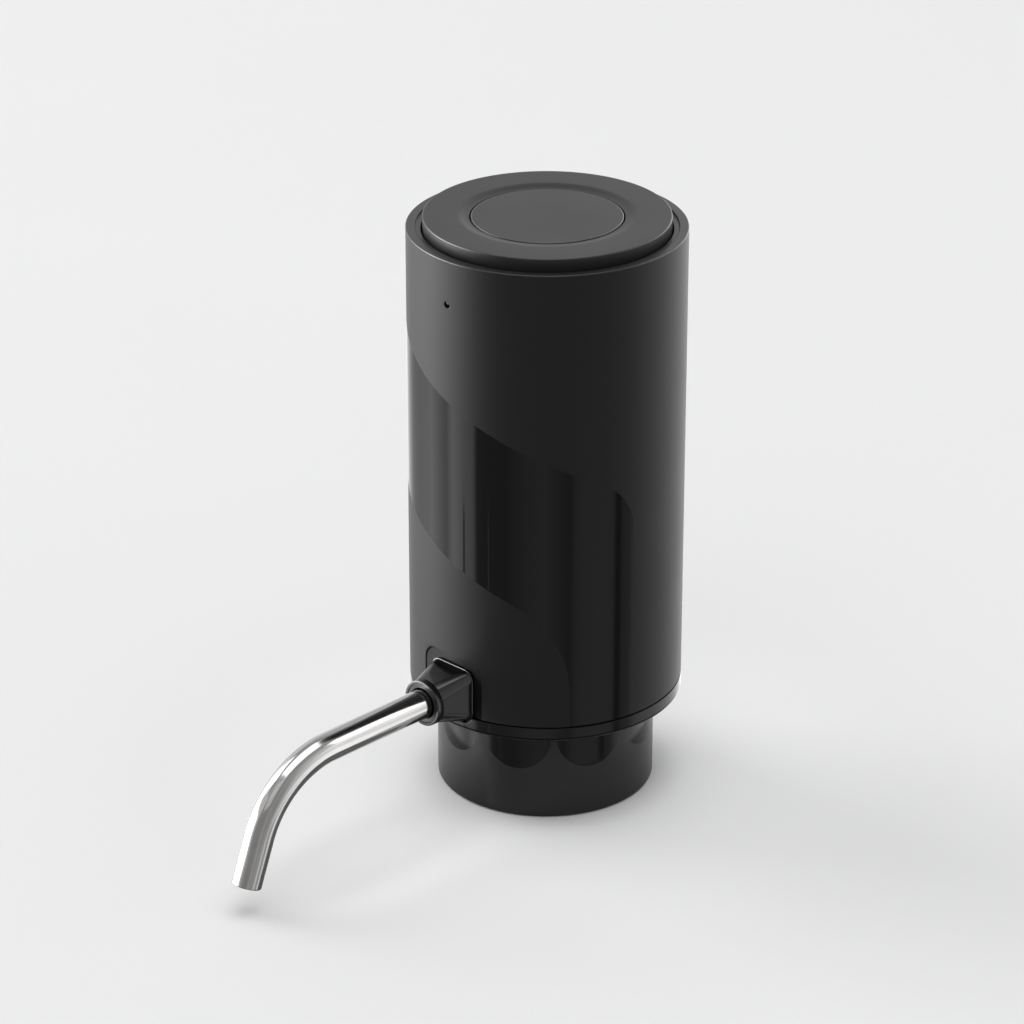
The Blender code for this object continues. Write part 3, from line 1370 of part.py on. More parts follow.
def motor_end_cap():
    """The plastic cap on the motor's open end, with a bearing boss."""
    hole = SHAFT_R + GAP
    cap = turned("motor_end_cap", [
        (END_CAP_BOSS_R, END_CAP_TOP_Z + END_CAP_BOSS_H),
        (END_CAP_BOSS_R, END_CAP_TOP_Z),
        (MOTOR_R, END_CAP_TOP_Z),
        (MOTOR_R, END_CAP_Z),
        (hole, END_CAP_Z),
        (hole, END_CAP_TOP_Z + END_CAP_BOSS_H),
    ], HIDDEN_ROUND, DRIVE)
    return finish(cap, matte_black())


def motor_clamp():
    """The clip that holds the motor to the spine."""
    low = MOTOR_Z + (MOTOR_H - CLAMP_H) / 2
    return spring_clip("motor_clamp", DRIVE_Y, MOTOR_R, CLAMP_T, low, CLAMP_H, grey_plastic())


def air_hose():
    """The soft hose over the pump's barb and the base ring's nipple."""
    inner = NIPPLE_R + GAP
    low, high = BASE_TOP_Z + GAP, PUMP_Z - GAP
    hose = ring("air_hose", inner, inner + HOSE_WALL, low, high, SMALL_ROUND, (AIR_X, AIR_Y, 0))
    return finish(hose, clear_silicone())


def build():
    """Every piece of the aerator, from the outside in."""
    for piece in (
        body_shell, base_ring, bottle_collar, neck_grip, bottle_stopper, top_cover, power_button,
        spout_boss, spout_seal, spout_tube, wine_elbow, elbow_seal, light_pipe,
        inner_frame, main_board, charge_socket, battery_cell, battery_clips,
        switch_board, tact_switch, switch_plunger, button_spring, indicator_lamp,
        pump_head, valve_plate, diaphragm, wobble_plate, pump_crankcase, motor_eccentric,
        motor_can, motor_magnets, motor_rotor, motor_end_cap, motor_clamp, air_hose,
    ):
        piece()


build()
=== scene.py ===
import math

import bmesh
import bpy
import numpy as np
from mathutils import Matrix, Vector


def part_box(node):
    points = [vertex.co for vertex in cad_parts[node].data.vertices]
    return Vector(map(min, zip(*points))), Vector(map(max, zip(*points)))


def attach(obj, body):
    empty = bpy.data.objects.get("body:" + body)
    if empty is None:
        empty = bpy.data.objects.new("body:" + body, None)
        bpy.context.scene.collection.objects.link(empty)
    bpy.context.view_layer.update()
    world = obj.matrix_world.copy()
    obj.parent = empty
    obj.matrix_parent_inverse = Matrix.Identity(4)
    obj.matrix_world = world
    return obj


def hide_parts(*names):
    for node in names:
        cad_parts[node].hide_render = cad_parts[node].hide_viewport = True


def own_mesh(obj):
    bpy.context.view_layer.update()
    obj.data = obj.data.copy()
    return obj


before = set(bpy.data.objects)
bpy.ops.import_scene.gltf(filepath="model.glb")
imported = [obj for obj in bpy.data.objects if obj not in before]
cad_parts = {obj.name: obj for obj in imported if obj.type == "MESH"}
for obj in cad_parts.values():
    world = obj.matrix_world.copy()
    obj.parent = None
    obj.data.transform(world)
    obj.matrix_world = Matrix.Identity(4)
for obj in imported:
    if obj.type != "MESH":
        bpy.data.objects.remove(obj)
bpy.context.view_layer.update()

# The studio: a pale floor with painted light that makes it paler round the object's foot, where the
# body's shadow falls, a pale room, and soft light from three boxes. The camera stands at the
# photograph's angle, about a metre from the object.

mm = 0.001
camera_turn = math.radians(44.4)
camera_tip = math.radians(24.764)
right_hand = Vector((math.cos(camera_turn), math.sin(camera_turn), 0))
away = Vector((-math.sin(camera_turn), math.cos(camera_turn), 0))

focal_length, camera_place = 146.013, (0.6172, -0.6418, 0.4786)


def linked(name, data):
    """A new object in the scene, with its data."""
    made = bpy.data.objects.new(name, data)
    bpy.context.scene.collection.objects.link(made)
    return made


bpy.context.scene.view_settings.view_transform = "Standard"
lens = bpy.data.cameras.new("camera")
lens.sensor_width = 36
lens.lens = focal_length
lens.clip_start = 0.01
camera = linked("camera", lens)
camera.location = camera_place
camera.rotation_euler = (math.pi / 2 - camera_tip, 0, camera_turn)
bpy.context.scene.camera = camera


class Value:
    """A shader socket that can be used in sums: each operator adds one Math node."""

    def __init__(self, tree, socket):
        self.tree = tree
        self.socket = socket

    def maths(self, operation, *others):
        node = self.tree.nodes.new("ShaderNodeMath")
        node.operation = operation
        for number, value in enumerate([self, *others]):
            if isinstance(value, Value):
                self.tree.links.new(value.socket, node.inputs[number])
            else:
                node.inputs[number].default_value = value
        return Value(self.tree, node.outputs[0])

    def __add__(self, other):
        return self.maths("ADD", other)

    def __sub__(self, other):
        return self.maths("SUBTRACT", other)

    def __rsub__(self, other):
        return self.maths("MULTIPLY_ADD", -1.0, other)

    def __mul__(self, other):
        return self.maths("MULTIPLY", other)

    __radd__, __rmul__ = __add__, __mul__

    def __truediv__(self, other):
        return self.maths("DIVIDE", other)

    def __gt__(self, other):
        return self.maths("GREATER_THAN", other)

    def __lt__(self, other):
        return self.maths("LESS_THAN", other)

    def between(self, low, high):
        """Rises smoothly from 0 at one value to 1 at the other: 3s² - 2s³ of the share s."""
        share = ((self - low) / (high - low)).maths("MAXIMUM", 0.0).maths("MINIMUM", 1.0)
        return share * share * (3 - 2 * share)


def hypot(a, b):
    """The square root of a² + b², for two values."""
    return (a * a + b * b).maths("SQRT")


class Finish:
    """A Principled material, whose point is the place in metres, also given as x, y and z."""

    def __init__(self, name, **constants):
        self.material = bpy.data.materials.new(name)
        self.material.use_nodes = True
        self.tree = self.material.node_tree
        self.shader = self.tree.nodes["Principled BSDF"]
        for socket, value in constants.items():
            self.shader.inputs[socket.replace("_", " ")].default_value = value
        self.point = self.add("ShaderNodeTexCoord", output=3)
        split = self.tree.nodes.new("ShaderNodeSeparateXYZ")
        self.tree.links.new(self.point.socket, split.inputs[0])
        self.x, self.y, self.z = (Value(self.tree, socket) for socket in split.outputs)

    def add(self, kind, settings=None, inputs=None, output=0):
        """Any node: its settings come first, then its sockets' values or links."""
        node = self.tree.nodes.new(kind)
        for key, value in (settings or {}).items():
            if key == "stops":
                ramp = node.color_ramp.elements
                while len(ramp) < len(value):
                    ramp.new(0.5)
                for stop, (position, grey) in zip(ramp, value):
                    stop.position = position
                    stop.color = (grey, grey, grey, 1)
            else:
                setattr(node, key, value)
        for key, value in (inputs or {}).items():
            if isinstance(value, Value):
                self.tree.links.new(value.socket, node.inputs[key])
            else:
                node.inputs[key].default_value = value
        return Value(self.tree, node.outputs[output])

    def feed(self, socket, value):
        """Links a value to one of the shader's own sockets."""
        self.tree.links.new(value.socket, self.shader.inputs[socket])

    def noise(self, scale, detail=2.0, roughness=0.5, at=None):
        """A noise of about one period in 1 / scale metres, from 0 to 1."""
        inputs = {"Vector": at or self.point, "Scale": scale, "Detail": detail, "Roughness": roughness}
        return self.add("ShaderNodeTexNoise", None, inputs)

    def stretched(self, shares, vector=None):
        """A vector times three shares: a noise there is drawn out along an axis of small share."""
        inputs = {0: vector or self.point, 1: shares}
        return self.add("ShaderNodeVectorMath", {"operation": "MULTIPLY"}, inputs)

    def colour(self, amount, low, high):
        """A colour between two, by an amount from 0 to 1."""
        mix = self.tree.nodes.new("ShaderNodeMix")
        mix.data_type = "RGBA"
        self.tree.links.new(amount.socket, mix.inputs[0])
        mix.inputs[6].default_value = (*low, 1)
        mix.inputs[7].default_value = (*high, 1)
        return Value(self.tree, mix.outputs[2])

    def clouded(self, cloud, low, high, roughness, drift):
        """One noise mixes two colours, and lifts the roughness by its drift."""
        self.feed("Base Color", self.colour(cloud, low, high))
        self.feed("Roughness", cloud * drift + roughness)

    def relief(self, height, distance):
        """Bumps of a height in metres feed the shader's normal."""
        self.feed("Normal", self.add("ShaderNodeBump", None, {"Height": height, "Distance": distance}))


def full_turn(count):
    """Even angles of one turn, from 0."""
    return np.linspace(0, math.tau, count, endpoint=False)


stage_turn = full_turn(96)[:, None]


def stage_band(name, inner, outer, finish):
    """A closed band of quads on the stage, between two rings of points."""
    points = np.stack([inner, outer], axis=1).reshape(-1, 3)
    first = np.arange(0, len(points), 2)
    second = (first + 2) % len(points)
    quads = np.stack([first, first + 1, second + 1, second], axis=-1)
    mesh = bpy.data.meshes.new(name)
    mesh.from_pydata(points.tolist(), [], quads.tolist())
    mesh.materials.append(finish.material)
    band = linked(name, mesh)
    return band


def floor_ring(radius):
    """Points of the floor at a radius about the axis: x = r cos t, y = r sin t."""
    level = 0 * stage_turn - 0.05 * mm
    return np.hstack([radius * np.cos(stage_turn), radius * np.sin(stage_turn), level])


floor_finish = Finish("pale_floor", Roughness=0.9, Specular_IOR_Level=0.15)
floor_tone = floor_finish.noise(9.0)
from_foot = hypot(floor_finish.x, floor_finish.y)
# Painted light: the floor's colour is raised towards the foot, to lift the shadow the body casts there.
tone_and_painted_light = floor_tone * 0.08 + (1 - from_foot.between(20 * mm, 100 * mm)) * 0.92
grey_floor, pale_floor = (0.72, 0.718, 0.715), (0.90, 0.898, 0.895)
floor_finish.feed("Base Color", floor_finish.colour(tone_and_painted_light, grey_floor, pale_floor))
spout_side = np.clip((np.cos(stage_turn + math.radians(66)) - 0.86) / 0.1, 0, 1)
mirrored = floor_ring((50 - 21 * spout_side) * mm)
stage_band("studio_floor_middle", floor_ring(0.1 * mm), mirrored, floor_finish)
stage_band("studio_floor", mirrored, floor_ring(4.0), floor_finish).visible_glossy = False

room = bpy.data.worlds.new("pale_room")
room.use_nodes = True
room_light = room.node_tree.nodes["Background"].inputs
room_light["Color"].default_value = (0.98, 0.99, 1.0, 1)
room_light["Strength"].default_value = 0.6
bpy.context.scene.world = room


def softbox(name, place, target, width, height, radiance):
    """A rectangular lamp that faces a target: its power is pi times radiance times area."""
    lamp = bpy.data.lights.new(name, "AREA")
    lamp.shape = "RECTANGLE"
    lamp.size = width
    lamp.size_y = height
    lamp.energy = math.pi * radiance * width * height
    box = linked(name, lamp)
    box.location = place
    box.rotation_euler = (Vector(place) - Vector(target)).to_track_quat("Z", "Y").to_euler()
    box.visible_camera = False


body_middle = Vector((0, 0, 0.08))
softbox("key_box", -right_hand * 2.4 + away * 1.25 + Vector((0, 0, 2.3)), body_middle, 1.8, 1.8, 3.2)
softbox("front_box", -right_hand * 0.5 - away * 1.3 + Vector((0, 0, 1.5)), body_middle, 1.0, 1.0, 0.55)
softbox("overhead_box", (0, 0, 3.0), body_middle, 2.4, 2.4, 2.3)


def surround(radius=3.6, foot=-14.5, top=3.5):
    """A round screen that lights nothing: only the gloss of the object mirrors it.

    The floor is kept out of those reflections, but for its middle and there less of it below the
    spout, so the screen goes on under the floor. Each list gives radiance by the azimuth from the
    camera's side, to the right, in degrees.
    """
    low_stripes = [
        (-180, 1.4), (-158, 1.2), (-144, 0.85), (-137, 0.95), (-128, 1.3), (-117, 2.1),
        (-110, 3.0), (-101, 2.85), (-91, 2.4), (-84, 4.7), (-79, 4.4), (-72, 3.5), (-65, 3.1),
        (-62.5, 2.5), (-60, 0.7), (-52, 0.6), (-35, 0.6), (-15, 0.97), (-2, 1.1), (19, 0.6),
        (24, 1.0), (31, 1.2), (45, 1.2), (52, 1.15), (57, 1.0), (60, 0.35), (63, 0.35),
        (66, 0.75), (73, 0.85), (78, 1.4), (84, 1.8), (180, 1.9),
    ]
    high_glow = [
        (-180, 1.0), (-150, 1.0), (-138, 1.7), (-122, 7.2), (-108, 16.0), (-82, 16.0), (-71, 5.5),
        (-61, 1.0), (-45, 0.5), (40, 0.6), (70, 1.4), (95, 1.9), (110, 3.0), (150, 3.0), (180, 1.0),
    ]
    full, floor_glow = 16.5, 0.2
    across, towards = radius * np.sin(stage_turn), radius * np.cos(stage_turn)
    x = across * right_hand.x - towards * away.x
    y = across * right_hand.y - towards * away.y
    finish = Finish("surround_glow")
    finish.material.cycles.emission_sampling = "NONE"
    rings = [np.hstack([x, y, 0 * x + level]) for level in (foot, top)]
    screen = stage_band("surround", *rings, finish)
    x, y, z = finish.x, finish.y, finish.z
    across, towards = x * right_hand.x + y * right_hand.y, x * -away.x + y * -away.y
    share = across.maths("ARCTAN2", towards) / math.tau + 0.5
    glows = []
    for stops in (low_stripes, high_glow):
        stops = [((degrees + 180) / 360, value / full) for degrees, value in stops]
        glows.append(finish.add("ShaderNodeValToRGB", {"stops": stops}, {"Fac": share}) * full)
    low, high = glows
    past_floor, past_stripes = z.between(-2.22, -1.98), z.between(-1.12, -0.93)
    past_glow, past_rim = z.between(1.09, 1.69), z.between(1.33, 1.57)
    low = floor_glow + past_floor * (low - floor_glow)
    slit = share.between(0.2950, 0.2965) * (1 - share.between(0.3005, 0.302)) * (z < -1.56)
    thin_line = share.between(0.3620, 0.3633) * (1 - share.between(0.3633, 0.3646)) * (z < -1.57)
    low = low * (1 - slit * 0.7) + thin_line * 1.5
    high = high.maths("MINIMUM", 1 + (1 - past_glow) * full)
    right_box = share.between(0.735, 0.75) * (1 - share.between(0.83, 0.85)) * past_rim
    strength = low + past_stripes * (high + right_box * 2.8 - low)
    glow = finish.add("ShaderNodeEmission", None, {"Strength": strength})
    finish.tree.links.new(glow.socket, finish.tree.nodes["Material Output"].inputs["Surface"])
    for ray in ("camera", "diffuse", "shadow", "transmission"):
        setattr(screen, "visible_" + ray, False)


surround()

# The body shell is a moulded plastic tube with a satin black finish. A polished band winds round
# it, slopes down to the spout's right and runs into the parting line. The doorway recess for the
# spout boss, the lamp's hole and the charging port's mouth are moulded in with eased edges.

shell_low, shell_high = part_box("body_shell")
shell_r, shell_inner_r, overrun = 32.5 * mm, 30.3 * mm, 2 * mm
shell_foot, shell_top = shell_low[2], shell_high[2]


def in_mm(*values):
    """Metres for millimetres."""
    return np.array(values) * mm


def eased(outline, radii, steps=5, hold=0.3):
    """A closed outline of (r, z) points with rounded corners, whose radii are in millimetres.

    Each corner is cut back by its radius times the tangent of half the turn, an arc joins the
    two cuts, and a holding point lies a share of the radius beyond each end of the arc.
    """
    points = []
    count = len(outline)
    for number, radius in enumerate(in_mm(*radii)):
        corner = np.array(outline[number], float)
        back = np.array(outline[number - 1], float) - corner
        on = np.array(outline[(number + 1) % count], float) - corner
        if radius == 0:
            points.append(corner[None])
            continue
        back /= np.linalg.norm(back)
        on /= np.linalg.norm(on)
        half = math.acos(float(np.clip(back @ on, -1, 1))) / 2
        cut_back = radius / math.tan(half)
        middle = corner + (back + on) / np.linalg.norm(back + on) * radius / math.sin(half)
        first = corner + back * cut_back - middle
        last = corner + on * cut_back - middle
        sweep = math.pi - 2 * half
        share = np.linspace(0, 1, steps + 1)[:, None]
        arc = (np.sin((1 - share) * sweep) * first + np.sin(share * sweep) * last) / math.sin(sweep)
        hold_back = corner + back * (cut_back + radius * hold)
        hold_on = corner + on * (cut_back + radius * hold)
        points += [hold_back[None], middle + arc, hold_on[None]]
    return np.vstack(points)


def closed(mesh, least, slivers=False):
    """Joins points nearer than the least distance, fills open ends and takes out slivers."""
    work = bmesh.new()
    work.from_mesh(mesh)
    bmesh.ops.remove_doubles(work, verts=work.verts, dist=least)
    if slivers:
        bmesh.ops.dissolve_degenerate(work, edges=work.edges, dist=least)
    ends = [edge for edge in work.edges if edge.is_boundary]
    if ends:
        bmesh.ops.holes_fill(work, edges=ends)
    if slivers:
        bmesh.ops.triangulate(work, faces=[face for face in work.faces if len(face.verts) > 4])
        bmesh.ops.dissolve_degenerate(work, edges=work.edges, dist=least / 3)
    work.to_mesh(mesh)
    work.free()


def skin(name, points, close_rows=True, close_columns=True):
    """A mesh over a grid of points: one quad for each cell, with its faces turned outwards.

    The sign of the volume, the sum of a · (b × c) + a · (c × d) over the quads, tells whether
    the faces look in or out.
    """
    rows, columns = points.shape[:2]
    index = np.arange(rows * columns).reshape(rows, columns)
    if close_rows:
        index = np.vstack([index, index[:1]])
    if close_columns:
        index = np.hstack([index, index[:, :1]])
    cells = [index[:-1, :-1], index[:-1, 1:], index[1:, 1:], index[1:, :-1]]
    quads = np.stack(cells, axis=-1).reshape(-1, 4)
    flat = points.reshape(-1, 3)
    a, b, c, d = (flat[quads[:, corner]] for corner in range(4))
    if (a * (np.cross(b, c) + np.cross(c, d))).sum() < 0:
        quads = quads[:, ::-1]
    mesh = bpy.data.meshes.new(name)
    mesh.from_pydata(flat.tolist(), [], quads.tolist())
    closed(mesh, 0.0001 * mm)
    mesh.shade_smooth()
    return linked(name, mesh)


def spun(name, outline, columns=192, centre=(0, 0)):
    """A closed (r, z) outline turned about a vertical axis: x = r cos t, y = r sin t."""
    turn = full_turn(columns)
    r, z = outline[:, :1], outline[:, 1:]
    x = centre[0] + r * np.cos(turn)
    y = centre[1] + r * np.sin(turn)
    return skin(name, np.stack([x, y, z + 0 * turn], axis=-1))


def carved(made, *tools, operation="DIFFERENCE"):
    """Takes closed tools away from a piece, or joins them to it, and deletes the tools."""
    for tool in tools:
        modifier = made.modifiers.new("carve", "BOOLEAN")
        modifier.operation = operation
        modifier.solver = "EXACT"
        modifier.object = tool
    bpy.context.view_layer.update()
    solid = made.evaluated_get(bpy.context.evaluated_depsgraph_get())
    mesh = bpy.data.meshes.new_from_object(solid)
    closed(mesh, 0.003 * mm, slivers=True)
    made.modifiers.clear()
    made.data = mesh
    mesh.name = made.name
    mesh.materials.clear()
    mesh.shade_smooth()
    mesh.set_sharp_from_angle(angle=math.radians(40))
    for tool in tools:
        bpy.data.objects.remove(tool, do_unlink=True)


def dressed(made, finish, slot, body, *nodes):
    """Gives a piece its finish and its body, and lets it stand for CAD nodes. Its slot is not used."""
    made.data.materials.append(finish.material)
    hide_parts(*nodes)
    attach(made, body)


def rounded_frame(half_x, low, high, corner, steps=10):
    """Points round a rectangle with rounded corners, and their normals outwards.

    Each corner's arc is its centre plus the corner radius times (cos t, sin t). With a radius
    and steps of 0 the corners are sharp.
    """
    turn = np.linspace(0, math.pi / 2, steps + 1)
    points, normals = [], []
    corners = [(1, high, 0), (-1, high, 1), (-1, low, 2), (1, low, 3)]
    for side, z, quarter in corners:
        angle = turn + quarter * math.pi / 2
        normal = np.stack([np.cos(angle), np.sin(angle)], axis=-1)
        up = corner if z == low else -corner
        points.append(np.array([side * (half_x - corner), z + up]) + corner * normal)
        normals.append(normal)
    return np.vstack(points), np.vstack(normals)


def mouth(name, outline, normals, wall_r, floor_y, edge, side, steps=5):
    """A cutter for an opening in a round wall, whose edge is rounded over by a radius.

    A ring at depth e (1 - sin t) below the wall stands e (1 - cos t) outside the outline, and
    each point's y is the square root of its ring's radius squared minus its x squared.
    """
    x, z = outline[:, 0], outline[:, 1]
    rings = [np.stack([x, 0 * x + floor_y, z], axis=-1)]
    for angle in np.linspace(0, math.pi / 2, steps + 1):
        out = edge * (1 - math.cos(angle))
        ring_r = wall_r - edge * (1 - math.sin(angle))
        ring_x = x + normals[:, 0] * out
        ring_z = z + normals[:, 1] * out
        rings.append(np.stack([ring_x, np.sqrt(ring_r ** 2 - ring_x ** 2), ring_z], axis=-1))
    ring_x = x + normals[:, 0] * edge
    rings.append(np.stack([ring_x, 0 * x + wall_r + overrun, z + normals[:, 1] * edge], axis=-1))
    return skin(name, np.stack(rings) * (1, side, 1), close_rows=False)


rim_drop, groove_height, groove_lead = in_mm(0.03, 1.0, 1.4)
groove_floor, groove_r = shell_top - 0.6 * mm, 28.95 * mm
ledge_top, ledge_r, ledge_height, ledge_lead = in_mm(125.0, 29.0, 1.5, 1.3)
wall_rows = in_mm(42.15, 42.6, 47.4, 80, 128.8, 130.8)
shell_outline = eased([
    (shell_r, shell_foot),
    *((shell_r, level) for level in wall_rows),
    (shell_r, shell_top),
    (shell_inner_r, shell_top - rim_drop),
    (shell_inner_r, groove_floor),
    (groove_r, groove_floor),
    (groove_r, groove_floor - groove_height),
    (shell_inner_r, groove_floor - groove_height - groove_lead),
    (shell_inner_r, ledge_top),
    (ledge_r, ledge_top),
    (ledge_r, ledge_top - ledge_height),
    (shell_inner_r, ledge_top - ledge_height - ledge_lead),
    (shell_inner_r, shell_foot),
], [0.15] + [0] * 6 + [0.22] + [0.2] * 3 + [0] * 6 + [0.15])
shell = spun("body_shell_fine", shell_outline, 288)

spout_z, lamp_z, port_z, below_foot = 32.4 * mm, 129.8 * mm, 45.0 * mm, shell_foot - 12 * mm
recess_half, recess_top, recess_floor, pad_half = in_mm(9.25, 41.8, 30.9, 10.9)
lamp_half, port_half, port_rise, mouth_floor = in_mm(0.8, 4.8, 1.95, 28.3)
slot_half, recess_corner, port_corner, pad_back, pad_front = in_mm(5.3, 4.5, 1.65, -28.5, -30.5)
before_wall, behind_wall = -shell_r - overrun, -25 * mm


def through(name, outline, near_y, far_y):
    """A prism of an (x, z) outline between two places along Y."""
    x, z = outline[:, 0], outline[:, 1]
    rings = [np.stack([x, 0 * x + y, z], axis=-1) for y in (near_y, far_y)]
    return skin(name, np.stack(rings), close_rows=False)


recess_frame = rounded_frame(recess_half, below_foot, recess_top, recess_corner, 14)
recess_cutter = mouth("recess_cutter", *recess_frame, shell_r, recess_floor, 0.2 * mm, -1)
pad_outline = rounded_frame(pad_half, shell_foot, recess_top + 2 * mm, 0, 0)[0]
carved(shell, through("pad", pad_outline, pad_front, pad_back), operation="UNION")
slot_outline = rounded_frame(slot_half, below_foot, spout_z + slot_half, slot_half)[0]
slot = through("slot", slot_outline, before_wall, behind_wall)
lamp_frame = rounded_frame(lamp_half, lamp_z - lamp_half, lamp_z + lamp_half, lamp_half)
lamp_mouth = mouth("lamp_mouth", *lamp_frame, shell_r, mouth_floor, 0.12 * mm, -1)
port_frame = rounded_frame(port_half, port_z - port_rise, port_z + port_rise, port_corner)
port_mouth = mouth("port_mouth", *port_frame, shell_r, mouth_floor, 0.3 * mm, 1)
carved(shell, recess_cutter, slot, lamp_mouth, port_mouth)


def fillet_distance(u, z, corner, first, second, radius):
    """Distance outside a corner of two half planes that is rounded by a radius.

    first and second are the unit normals. The arc's centre lies the radius inside both lines, and
    where the point lies beyond it in both normals' wedge, the distance is taken from the arc.
    """
    lean = first[0] * second[0] + first[1] * second[1]
    back = radius / (1 + lean)
    from_u = u - (corner[0] - (first[0] + second[0]) * back)
    from_z = z - (corner[1] - (first[1] + second[1]) * back)
    along_first = from_u * first[0] + from_z * first[1]
    along_second = from_u * second[0] + from_z * second[1]
    straight = along_first.maths("MAXIMUM", along_second) - radius
    wedge = (along_first - along_second * lean > 0) * (along_second - along_first * lean > 0)
    arc = hypot(from_u, from_z) - radius
    return straight + wedge * (arc - straight)


def polished_edge(finish, radius, top, width, amount, face=0.0, depth=0.0):
    """Clear gloss within a width of a top edge, and some on the face inside, down to a depth."""
    from_axis = hypot(finish.x, finish.y)
    edge = (from_axis > radius - width) * (finish.z > top - width) * amount
    inside = (from_axis < radius - width) * (finish.z > top - depth - 0.05 * mm) * face
    finish.shader.inputs["Coat Roughness"].default_value = 0.15
    finish.feed("Coat Weight", edge + inside)


def black_plastic(name, roughness, grain, colour, specular):
    """A black plastic whose sheen drifts a little and whose skin has a fine moulded grain."""
    finish = Finish(name, Specular_IOR_Level=specular)
    drift = finish.noise(60.0, 3.0)
    dark = tuple(0.85 * part for part in colour)
    finish.feed("Base Color", finish.colour(finish.noise(900.0), dark, colour))
    finish.feed("Roughness", drift * 0.08 + (roughness - 0.04))
    finish.relief(finish.noise(5200.0), grain)
    return finish


shell_finish = Finish("satin_and_gloss_shell", Specular_IOR_Level=0.15)
x, y, z = shell_finish.x, shell_finish.y, shell_finish.z
azimuth = y.maths("ARCTAN2", x) * (180 / math.pi)
azimuth = azimuth - (azimuth > 110.0) * 360.0
per_degree = shell_r / mm * math.pi / 180
u = azimuth * per_degree
up = z * (1 / mm)
right, left, tight, wide = (1, 0), (-1, 0), 15.5, 25.4
upper_edge, lower_edge = (-118, 113.4, 0.263), (-120.6, 74.45, 0.258)


def band_corner(edge, degrees, side, radius, above=1):
    """The band's distance about a corner at an azimuth on an edge, unrolled, in millimetres.

    An edge passes an azimuth at a height and falls by so many millimetres a degree.
    """
    start, height, fall = edge
    slope = fall / per_degree
    normal = (above * slope / math.hypot(1, slope), above / math.hypot(1, slope))
    corner = (degrees * per_degree, height - fall * (degrees - start))
    return fillet_distance(u, up, corner, normal, side, radius)


front_end = band_corner(upper_edge, -7.4, right, tight)
front_gap = band_corner(lower_edge, -36.1, right, wide)
back_end = band_corner(lower_edge, -232, left, tight, -1)
back_gap = band_corner(upper_edge, -205, left, wide, -1)
front_edge = front_end.maths("MAXIMUM", front_gap * -1)
back_edge = back_end.maths("MAXIMUM", back_gap * -1)
edge = back_edge + (azimuth > -150.0) * (front_edge - back_edge)
gloss = 1 - edge.between(-0.04, 0.04)
drift = shell_finish.noise(45.0, 3.0)
# Painted shade: right of the boss the recess floor takes the darkest colour, as the boss's shadow, and
# is also made duller.
from_recess = (y + recess_floor).maths("ABSOLUTE")
in_recess = (from_recess < 0.1 * mm) * (x.maths("ABSOLUTE") < recess_half + 0.05 * mm)
dull = in_recess * x.between(-3 * mm, 6 * mm)
satin_roughness = drift * 0.07 + 0.40 + dull * 0.4
shell_finish.feed("Roughness", satin_roughness + gloss * (0.05 - satin_roughness))
satin_black, gloss_black = (0.0085, 0.0085, 0.0088), (0.0012, 0.0012, 0.0013)
gloss_or_painted_shade = gloss.maths("MAXIMUM", dull)
shell_finish.feed("Base Color", shell_finish.colour(gloss_or_painted_shade, satin_black, gloss_black))
grain = shell_finish.noise(5200.0) * (1 - gloss)
ripple = shell_finish.noise(130.0, 1.0) * gloss
shell_finish.relief(grain + ripple * 0.5, 0.004 * mm)
polished_edge(shell_finish, shell_r, shell_top, 0.25 * mm, 0.5, 0.28, 0.65 * mm)
dressed(shell, shell_finish, "matte_black", "body", "body_shell")

# The base ring is a glossy black moulding that closes the shell's foot. Its locating lip stands
# inside the shell, and a notch lets the square spout boss through.

ring_low, ring_high = in_mm(23.6, 27.1)
lip_r, lip_inner_r, lip_top = in_mm(30.0, 28.9, 28.7)
ring_hole_r, lip_gap_half = in_mm(4.3, 11.2)
notch_half, notch_corner, notch_floor = in_mm(7.0, 2.95, 30.7)
ring_outline = eased([
    (lip_r, lip_top),
    (lip_r, ring_high),
    (shell_r, ring_high),
    (shell_r, ring_low),
    (ring_hole_r, ring_low),
    (ring_hole_r, ring_high),
    (lip_inner_r, ring_high),
    (lip_inner_r, lip_top),
], [0.2, 0, 0.15, 0.8, 0, 0, 0, 0.2])
base_ring = spun("base_ring_fine", ring_outline, 288)
gap_outline = rounded_frame(lip_gap_half, ring_high, lip_top + overrun, 0, 0)[0]
notch_frame = rounded_frame(notch_half, spout_z - notch_half, spout_z + notch_half, notch_corner)
notch = mouth("boss_notch", *notch_frame, shell_r, notch_floor, 0.2 * mm, -1)
carved(base_ring, through("lip_gap", gap_outline, before_wall, behind_wall), notch)


def upright_post(name, radius, place, low, high, columns=48):
    """A round tool or post between two heights, on the (r, z) outline of a rectangle."""
    outline = np.array([(0, low), (radius, low), (radius, high), (0, high)])
    return spun(name, outline, columns, place)


def posts_around(name, radius, reach, turns, low, high, columns=24):
    """Posts at a reach from the axis, one at each angle: x = reach cos t, y = reach sin t."""
    angles = np.radians(turns)
    places = zip(reach * np.cos(angles), reach * np.sin(angles))
    return [upright_post(name, radius, place, low, high, columns) for place in places]


collar_turns, cover_turns = (30, 150, 270), (90, 210, 330)
air_place, air_bore_r, hole_r, holes_reach = (8.0 * mm, -9.6 * mm), 0.8 * mm, 1.1 * mm, 21.2 * mm
nipple_r, nipple_top, pilot_depth, below_ring = 1.6 * mm, 33.5 * mm, 2.7 * mm, ring_low - overrun
nipple = upright_post("nipple", nipple_r, air_place, (ring_low + ring_high) / 2, nipple_top)
carved(base_ring, nipple, operation="UNION")
air_hole = upright_post("air_hole", air_bore_r, air_place, below_ring, nipple_top + overrun, 32)
pilots = posts_around("pilot", hole_r, holes_reach, collar_turns, below_ring, ring_low + pilot_depth)
holes = posts_around("hole", hole_r, holes_reach, cover_turns, below_ring, ring_high + overrun)
carved(base_ring, air_hole, *pilots, *holes)
ring_finish = black_plastic("gloss_black_ring", 0.08, 0.0008 * mm, (0.004, 0.004, 0.0041), 0.15)
dressed(base_ring, ring_finish, "gloss_black", "body", "base_ring")

